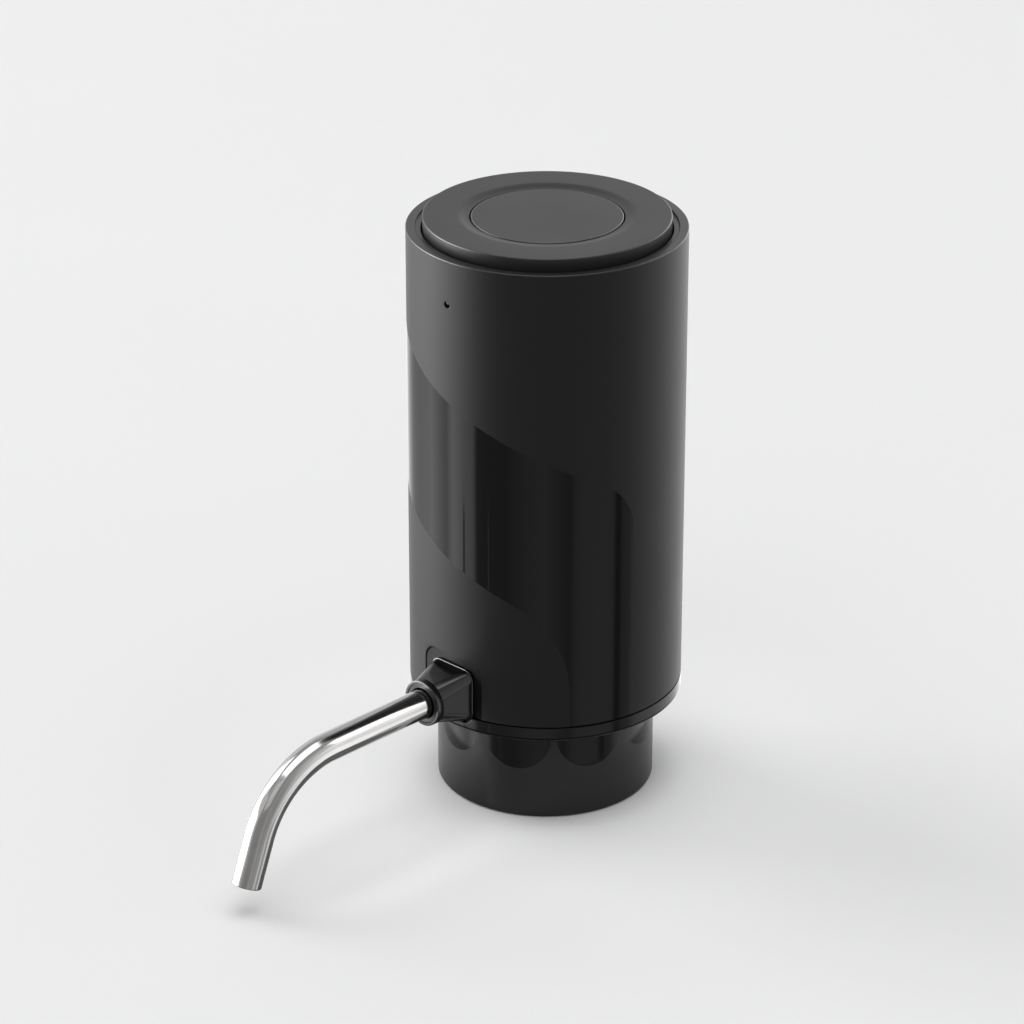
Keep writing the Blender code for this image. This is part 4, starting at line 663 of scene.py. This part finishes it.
# The bottle collar is a moulded cup with an inner sleeve that goes over the bottle's neck. It is
# held to the base ring by three screws in deep bores. Its upper part keeps a polished sheen.

collar_r, collar_inner_r, collar_top = in_mm(25.95, 23.95, 23.3)
sleeve_r, sleeve_out_r, collar_floor = in_mm(16.9, 18.4, 2.0)
collar_outline = eased([
    (collar_r, collar_top),
    (collar_r, 0),
    (sleeve_r, 0),
    (sleeve_r, collar_top),
    (sleeve_out_r, collar_top),
    (sleeve_out_r, collar_floor),
    (collar_inner_r, collar_floor),
    (collar_inner_r, collar_top),
], [0.2, 0.8, 0.4, 0.2, 0.1, 0.4, 0.4, 0.1])
collar = spun("bottle_collar_fine", collar_outline, 240)
reach, pillar_r, bore_r, bore_top = in_mm(21.175, 3.0, 1.9, 19.3)
pillars = posts_around("pillar", pillar_r, reach, collar_turns, collar_floor / 2, collar_top, 40)
bores = posts_around("deep_bore", bore_r, reach, collar_turns, -overrun, bore_top, 40)
hole_foot, hole_top = bore_top - overrun, collar_top + overrun
bores += posts_around("screw_hole", hole_r, reach, collar_turns, hole_foot, hole_top)
carved(collar, *pillars, operation="UNION")
carved(collar, *bores)
collar_satin, collar_gloss = (0.021, 0.021, 0.0214), (0.0012, 0.0012, 0.0012)
collar_finish = black_plastic("collar_black", 0.3, 0.0015 * mm, collar_satin, 0.15)
scallops, scallop_r, scallop_z, first_scallop = 9, 8.4 * mm, 21.2 * mm, -61.5
x, y, z = collar_finish.x, collar_finish.y, collar_finish.z
turn = (y.maths("ARCTAN2", x) - math.radians(first_scallop)) * (scallops / math.tau) + (scallops + 0.5)
along = (turn.maths("FRACT") - 0.5) * (math.tau / scallops * collar_r)
down = (z - scallop_z).maths("MINIMUM", 0.0)
outside = hypot(along, down) - scallop_r
on_wall = hypot(x, y) > collar_r - 0.5 * mm
polished = (1 - outside.between(-0.05 * mm, 0.05 * mm)) * on_wall
drift = collar_finish.noise(60.0, 3.0)
collar_finish.feed("Roughness", drift * 0.05 + 0.285 - polished * 0.19)
collar_finish.feed("Base Color", collar_finish.colour(polished, collar_satin, collar_gloss))
dressed(collar, collar_finish, "matte_black", "body", "bottle_collar")

# The neck grip is a soft black sleeve pressed into the collar. Its mouth is flared and grooves run
# round its bore, so that it holds on a bottle's neck.

grip_r, grip_out_r, grip_foot, grip_top = in_mm(15.2, 16.6, 0.8, 20.5)
flare_r, flare_top, groove_depth = in_mm(15.8, 2.0, 0.3)
grip_outline = [(grip_out_r, grip_top), (grip_out_r, grip_foot), (flare_r, grip_foot)]
grip_outline.append((grip_r, flare_top))
grip_edges = [0.2, 0.3, 0.2, 0.3]
for level in np.arange(4.6, 18.5, 2.3) * mm:
    grip_outline += [
        (grip_r, level - 0.6 * mm),
        (grip_r + groove_depth, level - 0.3 * mm),
        (grip_r + groove_depth, level + 0.3 * mm),
        (grip_r, level + 0.6 * mm),
    ]
    grip_edges += [0.1] * 4
grip_outline.append((grip_r, grip_top))
grip_edges.append(0.3)
grip = spun("neck_grip_fine", eased(grip_outline, grip_edges, 3), 120)
grip.data.set_sharp_from_angle(angle=math.radians(40))
rubber = black_plastic("black_rubber_grip", 0.6, 0.008 * mm, (0.014, 0.014, 0.014), 0.35)
dressed(grip, rubber, "black_rubber", "body", "neck_grip")

# The bottle stopper is moulded in milky silicone. Three soft ribs seal it in the bottle's mouth,
# wine rises through its middle, and the pump's air goes down a small bore beside it.

stopper_r, stopper_hole_r, stopper_foot, stopper_top = in_mm(9.2, 4.3, 3.0, 23.3)
flange_foot, rib_r = 20.8 * mm, stopper_r + 0.5 * mm
stopper_outline = [(grip_out_r, stopper_top), (grip_out_r, flange_foot), (stopper_r, flange_foot)]
stopper_edges = [0.3, 0.3, 0.5]
for level in in_mm(16.35, 11.9, 7.45):
    stopper_outline += [
        (stopper_r, level + 0.9 * mm),
        (rib_r, level + 0.15 * mm),
        (rib_r, level - 0.15 * mm),
        (stopper_r, level - 0.9 * mm),
    ]
    stopper_edges += [0.4, 0.1, 0.1, 0.4]
stopper_outline += [(stopper_r, 4.2 * mm), (8.0 * mm, stopper_foot), (stopper_hole_r, stopper_foot)]
stopper_outline.append((stopper_hole_r, stopper_top))
stopper_edges += [0.8, 0.6, 0.4, 0.3]
stopper = spun("bottle_stopper_fine", eased(stopper_outline, stopper_edges, 4), 144)
air_bore_place = np.array(air_place) / math.hypot(*air_place) * 6.75 * mm
bore_ends = (stopper_foot - overrun, stopper_top + overrun)
air_bore = upright_post("air_bore", air_bore_r, air_bore_place, *bore_ends, 32)


def lying_rod(name, radius, start, end, height, columns=32):
    """A round tool on its side: circles across the line between two places at one height."""
    turn = full_turn(columns)
    line = np.subtract(end, start) / np.linalg.norm(np.subtract(end, start))
    offset = radius * np.cos(turn)[:, None] * np.array([-line[1], line[0]])
    rings = [
        np.concatenate([place + offset, height + radius * np.sin(turn)[:, None]], axis=1)
        for place in (np.array(start), np.array(end))
    ]
    return skin(name, np.stack(rings), close_rows=False)


carved(stopper, air_bore, lying_rod("air_way", air_bore_r, air_bore_place, air_place, stopper_top))


def silicone(name):
    """Milky silicone: a pale grey that clouds a little, with a soft sheen."""
    finish = Finish(name, Specular_IOR_Level=0.45, Subsurface_Weight=0.3, Subsurface_Scale=0.002)
    finish.clouded(finish.noise(220.0, 3.0), (0.50, 0.51, 0.52), (0.60, 0.61, 0.62), 0.38, 0.15)
    finish.relief(finish.noise(1800.0), 0.01 * mm)
    return finish


dressed(stopper, silicone("milky_silicone_stopper"), "clear_silicone", "body", "bottle_stopper")

# The top cover is a satin black moulding that sits in the rim behind a narrow groove. Its face
# dips in a soft dish towards the button, and three screws hold its pillars to the frame's deck.

cover_r, cover_inner_r, cover_top, cover_foot = in_mm(28.65, 26.85, 142.9, 127.6)
plate_foot, guide_r, guide_out_r, guide_foot = in_mm(140.9, 17.9, 19.9, 137.8)
dish_r, dish_depth = in_mm(21.0, 0.5)
share = np.linspace(0, 1, 11)
drop = dish_depth * (1 + np.cos(math.pi * share)) / 2
dish = np.stack([guide_r + (dish_r - guide_r) * share, cover_top - drop], axis=-1)
cover_outline = eased([
    (cover_r, cover_top),
    (cover_r, cover_foot),
    (cover_inner_r, cover_foot),
    (cover_inner_r, plate_foot),
    (guide_out_r, plate_foot),
    (guide_out_r, guide_foot),
    (guide_r, guide_foot),
    *dish,
], [0.25, 0.2, 0.2, 0.3, 0.3, 0.2, 0.2, 0.1] + [0] * 10)
cover = spun("top_cover_fine", cover_outline, 256)
reach, pillar_r, pillar_top, pilot_depth = 24.35 * mm, 2.2 * mm, (plate_foot + cover_top) / 2, 5.3 * mm
pilot_ends = cover_foot - overrun, cover_foot + pilot_depth
pillars = posts_around("pillar", pillar_r, reach, cover_turns, cover_foot, pillar_top, 32)
pilots = posts_around("pilot", hole_r, reach, cover_turns, *pilot_ends)
carved(cover, *pillars, operation="UNION")
carved(cover, *pilots, through("lamp_way", lamp_frame[0], before_wall, behind_wall))
cover_finish = black_plastic("cover_black", 0.42, 0.004 * mm, (0.016, 0.016, 0.0165), 0.22)
polished_edge(cover_finish, cover_r, cover_top, 0.3 * mm, 0.3)
dressed(cover, cover_finish, "matte_black", "body", "top_cover")

# The power button is a thin moulded cap. It slides in the cover's guide, a flange keeps it in, and
# a stem in its middle pushes the switch. A hairline gap shows all round it.

button_r, button_inner_r, button_top, button_under = in_mm(17.55, 16.0, 142.5, 140.5)
flange_r, flange_top, flange_foot = in_mm(19.5, 137.5, 136.5)
stem_r, stem_foot = in_mm(2.2, 135.3)
button_outline = eased([
    (0, button_top),
    (button_r, button_top),
    (button_r, flange_top),
    (flange_r, flange_top),
    (flange_r, flange_foot),
    (button_inner_r, flange_foot),
    (button_inner_r, button_under),
    (stem_r, button_under),
    (stem_r, stem_foot),
    (0, stem_foot),
], [0, 0.2, 0.2, 0.15, 0.15, 0.2, 0.4, 0.4, 0.2, 0])
button = spun("power_button_fine", button_outline, 224)
button_finish = black_plastic("button_black", 0.40, 0.004 * mm, (0.016, 0.016, 0.0165), 0.21)
polished_edge(button_finish, button_r, button_top, 0.3 * mm, 0.6)
dressed(button, button_finish, "matte_black", "button", "power_button")

# The spout boss is a glossy black moulding: a rounded square at the shell that lofts to a round
# ring at its tip. Its shank goes through the recess, and a flange holds it behind the wall.

boss_foot, boss_half, boss_corner, foot_edge = in_mm(31.0, 6.75, 2.7, 0.2)
loft_start, loft_end, boss_tip = in_mm(31.7, 39.8, 41.6)
waist_half, waist_corner = in_mm(4.95, 3.6)
tip_r, tip_edge = in_mm(5.6, 0.25)
boss_turn = full_turn(192)


def boss_ring(distance, size, corner):
    """Points round the boss at a distance before the body's axis: a square with round corners.

    Its radius is the half width over the larger of |cos t| and |sin t|. In a corner it is f + the
    square root of f² - 2 flat² + corner², with f = flat (|cos t| + |sin t|).
    """
    cosine, sine = np.abs(np.cos(boss_turn)), np.abs(np.sin(boss_turn))
    flat = size - corner
    square = size / np.maximum(cosine, sine)
    reach = flat * (cosine + sine)
    bend = reach + np.sqrt(np.maximum(reach ** 2 - 2 * flat ** 2 + corner ** 2, 0))
    radius = np.where(np.minimum(cosine, sine) * square > flat, bend, square)
    across, upwards = radius * np.cos(boss_turn), radius * np.sin(boss_turn)
    return np.stack([across, 0 * across - distance, spout_z + upwards], axis=-1)


sections = [(boss_foot, boss_half - 0.1 * mm, boss_corner)]
sections.append((boss_foot + 0.1 * mm, boss_half, boss_corner))
for angle in np.linspace(0, math.pi / 2, 6):
    rise, shrink = foot_edge * (1 - math.sin(angle)), foot_edge * (1 - math.cos(angle))
    sections.append((loft_start - rise, boss_half - shrink, boss_corner - shrink))
start = np.array([loft_start, boss_half - foot_edge, boss_corner - foot_edge])
for share in np.linspace(0.01, 1, 33):
    sections.append(start + (np.array([loft_end, waist_half, waist_corner]) - start) * share)
for past, shrink in ((0.02 * mm, 0.10 * mm), (0.06 * mm, 0.03 * mm), (0.12 * mm, 0)):
    sections.append((loft_end + past, tip_r - shrink, tip_r - shrink))
sections.append((boss_tip - 1.3 * tip_edge, tip_r, tip_r))
for angle in np.linspace(0, math.pi / 2, 7):
    rise, shrink = tip_edge * (1 - math.sin(angle)), tip_edge * (1 - math.cos(angle))
    sections.append((boss_tip - rise, tip_r - shrink, tip_r - shrink))
rings = [boss_ring(*section) for section in sections]
boss = skin("spout_boss_fine", np.stack(rings), close_rows=False)

shank_r, shank_end, flange_half, flange_front = in_mm(5.0, 26.0, 7.0, 28.2)
boss_bore_r, boss_seat_r, boss_seat_foot, past_tip = 3.8 * mm, 4.9 * mm, 38.3 * mm, boss_tip + overrun
shank = lying_rod("shank", shank_r, (0, -shank_end), (0, -loft_start), spout_z, 64)
flange_outline = rounded_frame(flange_half, spout_z - shank_r, spout_z + shank_r, 1.0 * mm)[0]
flange = through("flange", flange_outline, -flange_front, -shank_end)
carved(boss, shank, flange, operation="UNION")
bore = lying_rod("bore", boss_bore_r, (0, overrun - shank_end), (0, -past_tip), spout_z, 64)
seat = lying_rod("seat", boss_seat_r, (0, -boss_seat_foot), (0, -past_tip), spout_z, 64)
carved(boss, bore, seat)
boss_finish = black_plastic("gloss_black_boss", 0.13, 0.0008 * mm, (0.006, 0.006, 0.0062), 0.52)
tip_share = (boss_finish.y * -1).between(loft_end - 0.05 * mm, loft_end + 0.05 * mm)
boss_finish.feed("Roughness", boss_finish.noise(60.0, 3.0) * 0.06 + 0.10 + tip_share * 0.10)
dressed(boss, boss_finish, "gloss_black", "body", "spout_boss")

# The spout seal is a moulded ring of soft black rubber. It is pushed into the seat in the boss's
# tip, and the tube turns in it.

seal_r, seal_lip_r, seal_width, seal_foot = in_mm(4.75, 4.82, 2.85, 38.6)
seal_outline = eased([
    (boss_bore_r, 0),
    (seal_r, 0),
    (seal_lip_r, seal_width),
    (boss_bore_r, seal_width),
], [0.15, 0.15, 0.1, 0.15])
seal = spun("spout_seal_fine", seal_outline, 96)
seal_place = Matrix.Translation((0, -seal_foot, spout_z))
seal.data.transform(seal_place @ Matrix.Rotation(math.pi / 2, 4, "X"))
seal_finish = black_plastic("seal_rubber", 0.42, 0.004 * mm, (0.007, 0.007, 0.007), 0.35)
dressed(seal, seal_finish, "black_rubber", "body", "spout_seal")

# The spout is a polished stainless tube, drawn, bent once and turned off at its mouth. Faint lines
# from drawing and polishing run along it. It turns in its seals about the boss's axis.

tube_r, tube_bore_r, tube_start, bend_start = in_mm(3.5, 2.5, 17.6, 71.6)
bend_r, bend_sweep, tube_end, lip = 23.5 * mm, math.radians(68.5), 11.7 * mm, 0.3 * mm
straight_steps = np.linspace(0, bend_start - tube_start, 56)
bend_steps = straight_steps[-1] + np.linspace(0, bend_r * bend_sweep, 73)[1:]
end_steps = bend_steps[-1] + np.linspace(0, tube_end, 13)[1:]
tube_length = end_steps[-1]
outer_steps = np.concatenate([straight_steps, bend_steps, end_steps[:-1], [tube_length - 1.3 * lip]])
lip_turn = np.linspace(0, math.pi / 2, 7)
out_lip = tube_length - lip * (1 - np.sin(lip_turn))
in_lip = out_lip[::-1]
tube_steps = np.concatenate([outer_steps, out_lip, in_lip, outer_steps[::-1]])
tube_radii = np.concatenate([
    np.full(len(outer_steps), tube_r),
    tube_r - lip * (1 - np.cos(lip_turn)),
    tube_bore_r + lip * (1 - np.cos(lip_turn[::-1])),
    np.full(len(outer_steps), tube_bore_r),
])
bent = np.clip(tube_steps - straight_steps[-1], 0, bend_r * bend_sweep) / bend_r
past = np.maximum(tube_steps - bend_steps[-1], 0)
before = tube_start + np.minimum(tube_steps, straight_steps[-1])
path_y = -(before + bend_r * np.sin(bent) + past * np.cos(bent))
path_z = spout_z - bend_r * (1 - np.cos(bent)) - past * np.sin(bent)
tube_turn = full_turn(96)
side = tube_radii[:, None] * np.sin(tube_turn)
rise = tube_radii[:, None] * np.cos(tube_turn)
tube_points = np.stack([
    side,
    path_y[:, None] - rise * np.sin(bent)[:, None],
    path_z[:, None] + rise * np.cos(bent)[:, None],
], axis=-1)
spout = skin("spout_tube_fine", tube_points)
unrolled = np.stack([side, rise, 0 * side + tube_steps[:, None]], axis=-1)
spout.data.attributes.new("drawn", "FLOAT_VECTOR", "POINT").data.foreach_set("vector", unrolled.ravel())
steel = Finish("polished_steel_tube", Metallic=1.0)
drawn = steel.add("ShaderNodeAttribute", {"attribute_name": "drawn"}, output=1)
stretched = steel.stretched((1.0, 1.0, 0.02), drawn)
lines = steel.noise(2600.0, 3.0, 0.6, stretched)
bands = steel.noise(700.0, 3.0, 0.6, stretched).between(0.3, 0.7)
smears = steel.noise(160.0, 3.0, at=drawn)
steel.feed("Roughness", lines * 0.05 + smears * 0.08 + 0.07)
dark_steel, bright_steel = (0.27, 0.265, 0.26), (0.56, 0.555, 0.55)
steel.feed("Base Color", steel.colour(bands * 0.7 + smears * 0.3, dark_steel, bright_steel))
steel.relief(lines + bands * 2, 0.0008 * mm)
dressed(spout, steel, "polished_steel", "spout", "spout_tube")

# The wine elbow is a grey moulding that carries the wine from the stopper's bore to the spout, and
# a rubber ring on the tube's inner end seals them.


def painted(finish, *nodes):
    """Gives CAD nodes a finish in place of their plain one."""
    for node in nodes:
        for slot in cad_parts[node].material_slots:
            slot.material = finish.material


def grey_moulding(name, light, grain=0.012 * mm):
    """A grey plastic with a moulded grain, a shade lighter or darker from place to place."""
    finish = Finish(name, Specular_IOR_Level=0.4)
    dark = tuple(light * part for part in (0.92, 0.92, 0.94))
    finish.clouded(finish.noise(90.0, 3.0), dark, (light, light, 1.03 * light), 0.42, 0.12)
    finish.relief(finish.noise(2600.0), grain)
    return finish


painted(grey_moulding("elbow_moulding", 0.27), "wine_elbow")
painted(rubber, "elbow_seal")

# The inner frame is one grey moulding: a round deck under the cover, a spine that the boards and
# the cell stand on, and a foot ring on the base ring. Screws hold it from below.

painted(grey_moulding("frame_moulding", 0.22), "inner_frame")

# The air pump is a stack of small mouldings with a rubber diaphragm between them. Its wobble
# plate nods as the motor's eccentric turns, and a silicone hose leads the air down.

painted(grey_moulding("pump_head_moulding", 0.30), "pump_head")
hidden_black = (0.03, 0.03, 0.031)
pump_black = black_plastic("pump_black", 0.45, 0.006 * mm, hidden_black, 0.4)
painted(pump_black, "valve_plate", "pump_crankcase")
painted(black_plastic("diaphragm_rubber", 0.62, 0.006 * mm, (0.02, 0.02, 0.02), 0.35), "diaphragm")
painted(grey_moulding("wobble_moulding", 0.36), "wobble_plate", "motor_eccentric")
painted(silicone("milky_silicone_hose"), "air_hose")

# The motor is a plain can of plated steel with two ferrite magnets, a wound rotor on its shaft and
# a black end cap. A grey clamp holds it in the frame.


def plated_metal(name, colour, roughness, along=(1.0, 1.0, 0.08)):
    """Plated steel: fine lines along one way, and soft smears in the plating."""
    finish = Finish(name, Metallic=1.0)
    fine_lines = finish.noise(3000.0, 3.0, at=finish.stretched(along))
    smear = finish.noise(260.0, 3.0)
    dull = tuple(0.86 * part for part in colour)
    finish.feed("Base Color", finish.colour(smear, dull, colour))
    finish.feed("Roughness", fine_lines * 0.1 + smear * 0.1 + (roughness - 0.1))
    finish.relief(fine_lines, 0.0015 * mm)
    return finish


painted(plated_metal("motor_can_plating", (0.64, 0.64, 0.66), 0.32), "motor_can")
painted(plated_metal("rotor_steel", (0.58, 0.57, 0.56), 0.36), "motor_rotor")
ferrite = Finish("ferrite_magnet", Specular_IOR_Level=0.4)
speckle = ferrite.noise(4200.0, 3.0)
ferrite.clouded(speckle, (0.075, 0.075, 0.08), (0.13, 0.13, 0.14), 0.5, 0.2)
ferrite.relief(speckle, 0.02 * mm)
painted(ferrite, "motor_magnet_1", "motor_magnet_2")
painted(black_plastic("end_cap_black", 0.48, 0.006 * mm, hidden_black, 0.4), "motor_end_cap")
painted(grey_moulding("clamp_moulding", 0.24), "motor_clamp")

# The battery is one lithium cell in a blue heat-shrunk wrap, held by two plated clips that are
# fixed to the main board.

wrap = Finish("blue_heat_shrunk_wrap", Specular_IOR_Level=0.5)
crease = wrap.noise(900.0, 3.0, at=wrap.stretched((1.0, 1.0, 0.15)))
wrap.clouded(crease, (0.05, 0.14, 0.29), (0.07, 0.18, 0.35), 0.28, 0.15)
wrap.relief(crease, 0.015 * mm)
painted(wrap, "battery_cell")
painted(plated_metal("clip_plating", (0.70, 0.69, 0.66), 0.26), "battery_clip_1", "battery_clip_2")

# The main board and the small switch board are green laminate. Copper tracks show as paler lines
# under the solder mask.

laminate = Finish("green_board_laminate", Specular_IOR_Level=0.5)
tracks = laminate.add("ShaderNodeTexVoronoi", {"feature": "DISTANCE_TO_EDGE"},
                      {"Vector": laminate.point, "Scale": 420.0, "Randomness": 0.3})
track = 1 - tracks.between(0.05, 0.09)
laminate.clouded(track, (0.014, 0.10, 0.04), (0.04, 0.19, 0.08), 0.42, -0.12)
laminate.relief(track, 0.02 * mm)
painted(laminate, "main_board", "switch_board")

# The charging socket is a folded shell of plated steel round a black tongue with gilt contacts. It
# stands on the main board, and its mouth shows in the back of the shell.

socket_half, socket_rise, socket_back, socket_front = in_mm(4.5, 1.65, 27.1, 31.587)
hollow_half, hollow_rise, hollow_back = in_mm(4.1, 1.25, 27.9)
tongue_half, tongue_rise, tongue_front = in_mm(3.3, 0.35, 30.8)
socket_outline = rounded_frame(socket_half, port_z - socket_rise, port_z + socket_rise, 1.45 * mm)[0]
hollow_outline = rounded_frame(hollow_half, port_z - hollow_rise, port_z + hollow_rise, 1.05 * mm)[0]
socket = through("charge_socket_fine", socket_outline, socket_back, socket_front)
carved(socket, through("hollow", hollow_outline, hollow_back, socket_front + overrun))
tongue_outline = rounded_frame(tongue_half, port_z - tongue_rise, port_z + tongue_rise, 0, 0)[0]
tongue = through("tongue", tongue_outline, socket_back + 0.4 * mm, tongue_front)
carved(socket, tongue, operation="UNION")
socket_finish = plated_metal("socket_plating", (0.66, 0.66, 0.67), 0.28)
x, y, z = socket_finish.x, socket_finish.y, socket_finish.z
aside, above = x.maths("ABSOLUTE"), (z - port_z).maths("ABSOLUTE")
on_tongue = (aside < tongue_half + 0.05 * mm) * (above < tongue_rise + 0.05 * mm)
on_tongue = on_tongue * (y > hollow_back + 0.02 * mm)
contact_pitch, contacts_half, contact_end = 0.5 * mm, 2.75 * mm, tongue_front - 0.5 * mm
contact = (x * (1 / contact_pitch)).maths("FRACT").between(0.30, 0.34)
contact = contact * (y < contact_end) * (aside < contacts_half)
bare = 1 - on_tongue * (1 - contact)
gilt, plating, tongue_black = (0.80, 0.62, 0.30), (0.64, 0.64, 0.65), (0.012, 0.012, 0.012, 1)
metal = socket_finish.colour(on_tongue * contact, plating, gilt)
mixed = {0: bare, 6: tongue_black, 7: metal}
socket_finish.feed("Base Color", socket_finish.add("ShaderNodeMix", {"data_type": "RGBA"}, mixed, 2))
socket_finish.feed("Metallic", bare)
dressed(socket, socket_finish, "plated_steel", "body", "charge_socket")

# The button's return spring is wound from plated steel wire, four open turns between two closed
# end turns. It stands loose round the switch; the real spring shortens as the button goes down, but
# this one keeps its length.


def wound_spring(name, radius, wire, low, high, turns=6, steps=48, sides=10):
    """A coil of wire: x = (R + w cos s) cos t, y = (R + w cos s) sin t, z = height(t) + w sin s.

    The height rises by just over the wire's width in each end turn, and evenly in between.
    """
    turn = np.linspace(0, turns, turns * steps + 1)[:, None]
    section = full_turn(sides)
    end_rise = 2.1 * wire
    height = np.interp(turn, [0, 1, turns - 1, turns], [low, low + end_rise, high - end_rise, high])
    reach = radius + wire * np.cos(section)
    x = reach * np.cos(math.tau * turn)
    y = reach * np.sin(math.tau * turn)
    return skin(name, np.stack([x, y, height + wire * np.sin(section)], axis=-1), close_rows=False)


spring_low, spring_high, spring_r, spring_wire = in_mm(130.05, 139.8, 5.6, 0.34)
spring = wound_spring("button_spring_fine", spring_r, spring_wire, spring_low, spring_high)
spring_finish = plated_metal("spring_wire", (0.66, 0.66, 0.67), 0.24)
dressed(spring, spring_finish, "plated_steel", "body", "button_spring")
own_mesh(spring)

# Under the button stand a tact switch and its rubber plunger. A clear lamp on the switch board
# shines down a smoked light pipe to the small hole under the rim.

painted(grey_moulding("switch_moulding", 0.12), "tact_switch")
painted(rubber, "switch_plunger")
smoked = Finish("smoked_light_pipe", Specular_IOR_Level=0.3)
smoked.clouded(smoked.noise(700.0), (0.006, 0.006, 0.007), (0.010, 0.010, 0.012), 0.12, 0.08)
painted(smoked, "light_pipe")
epoxy = Finish("lamp_epoxy", Specular_IOR_Level=0.5)
epoxy.clouded(epoxy.noise(500.0), (0.70, 0.73, 0.77), (0.78, 0.80, 0.84), 0.14, 0.1)
painted(epoxy, "indicator_lamp")

# All screws are small plated steel ones: three up through the collar, three up through the base
# ring into the frame, three up through the deck into the cover's pillars, and two in each board.

screw_plating = plated_metal("screw_plating", (0.60, 0.60, 0.62), 0.30, (1.0, 1.0, 1.0))
screws = [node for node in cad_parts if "_screw_" in node]
painted(screw_plating, *screws)
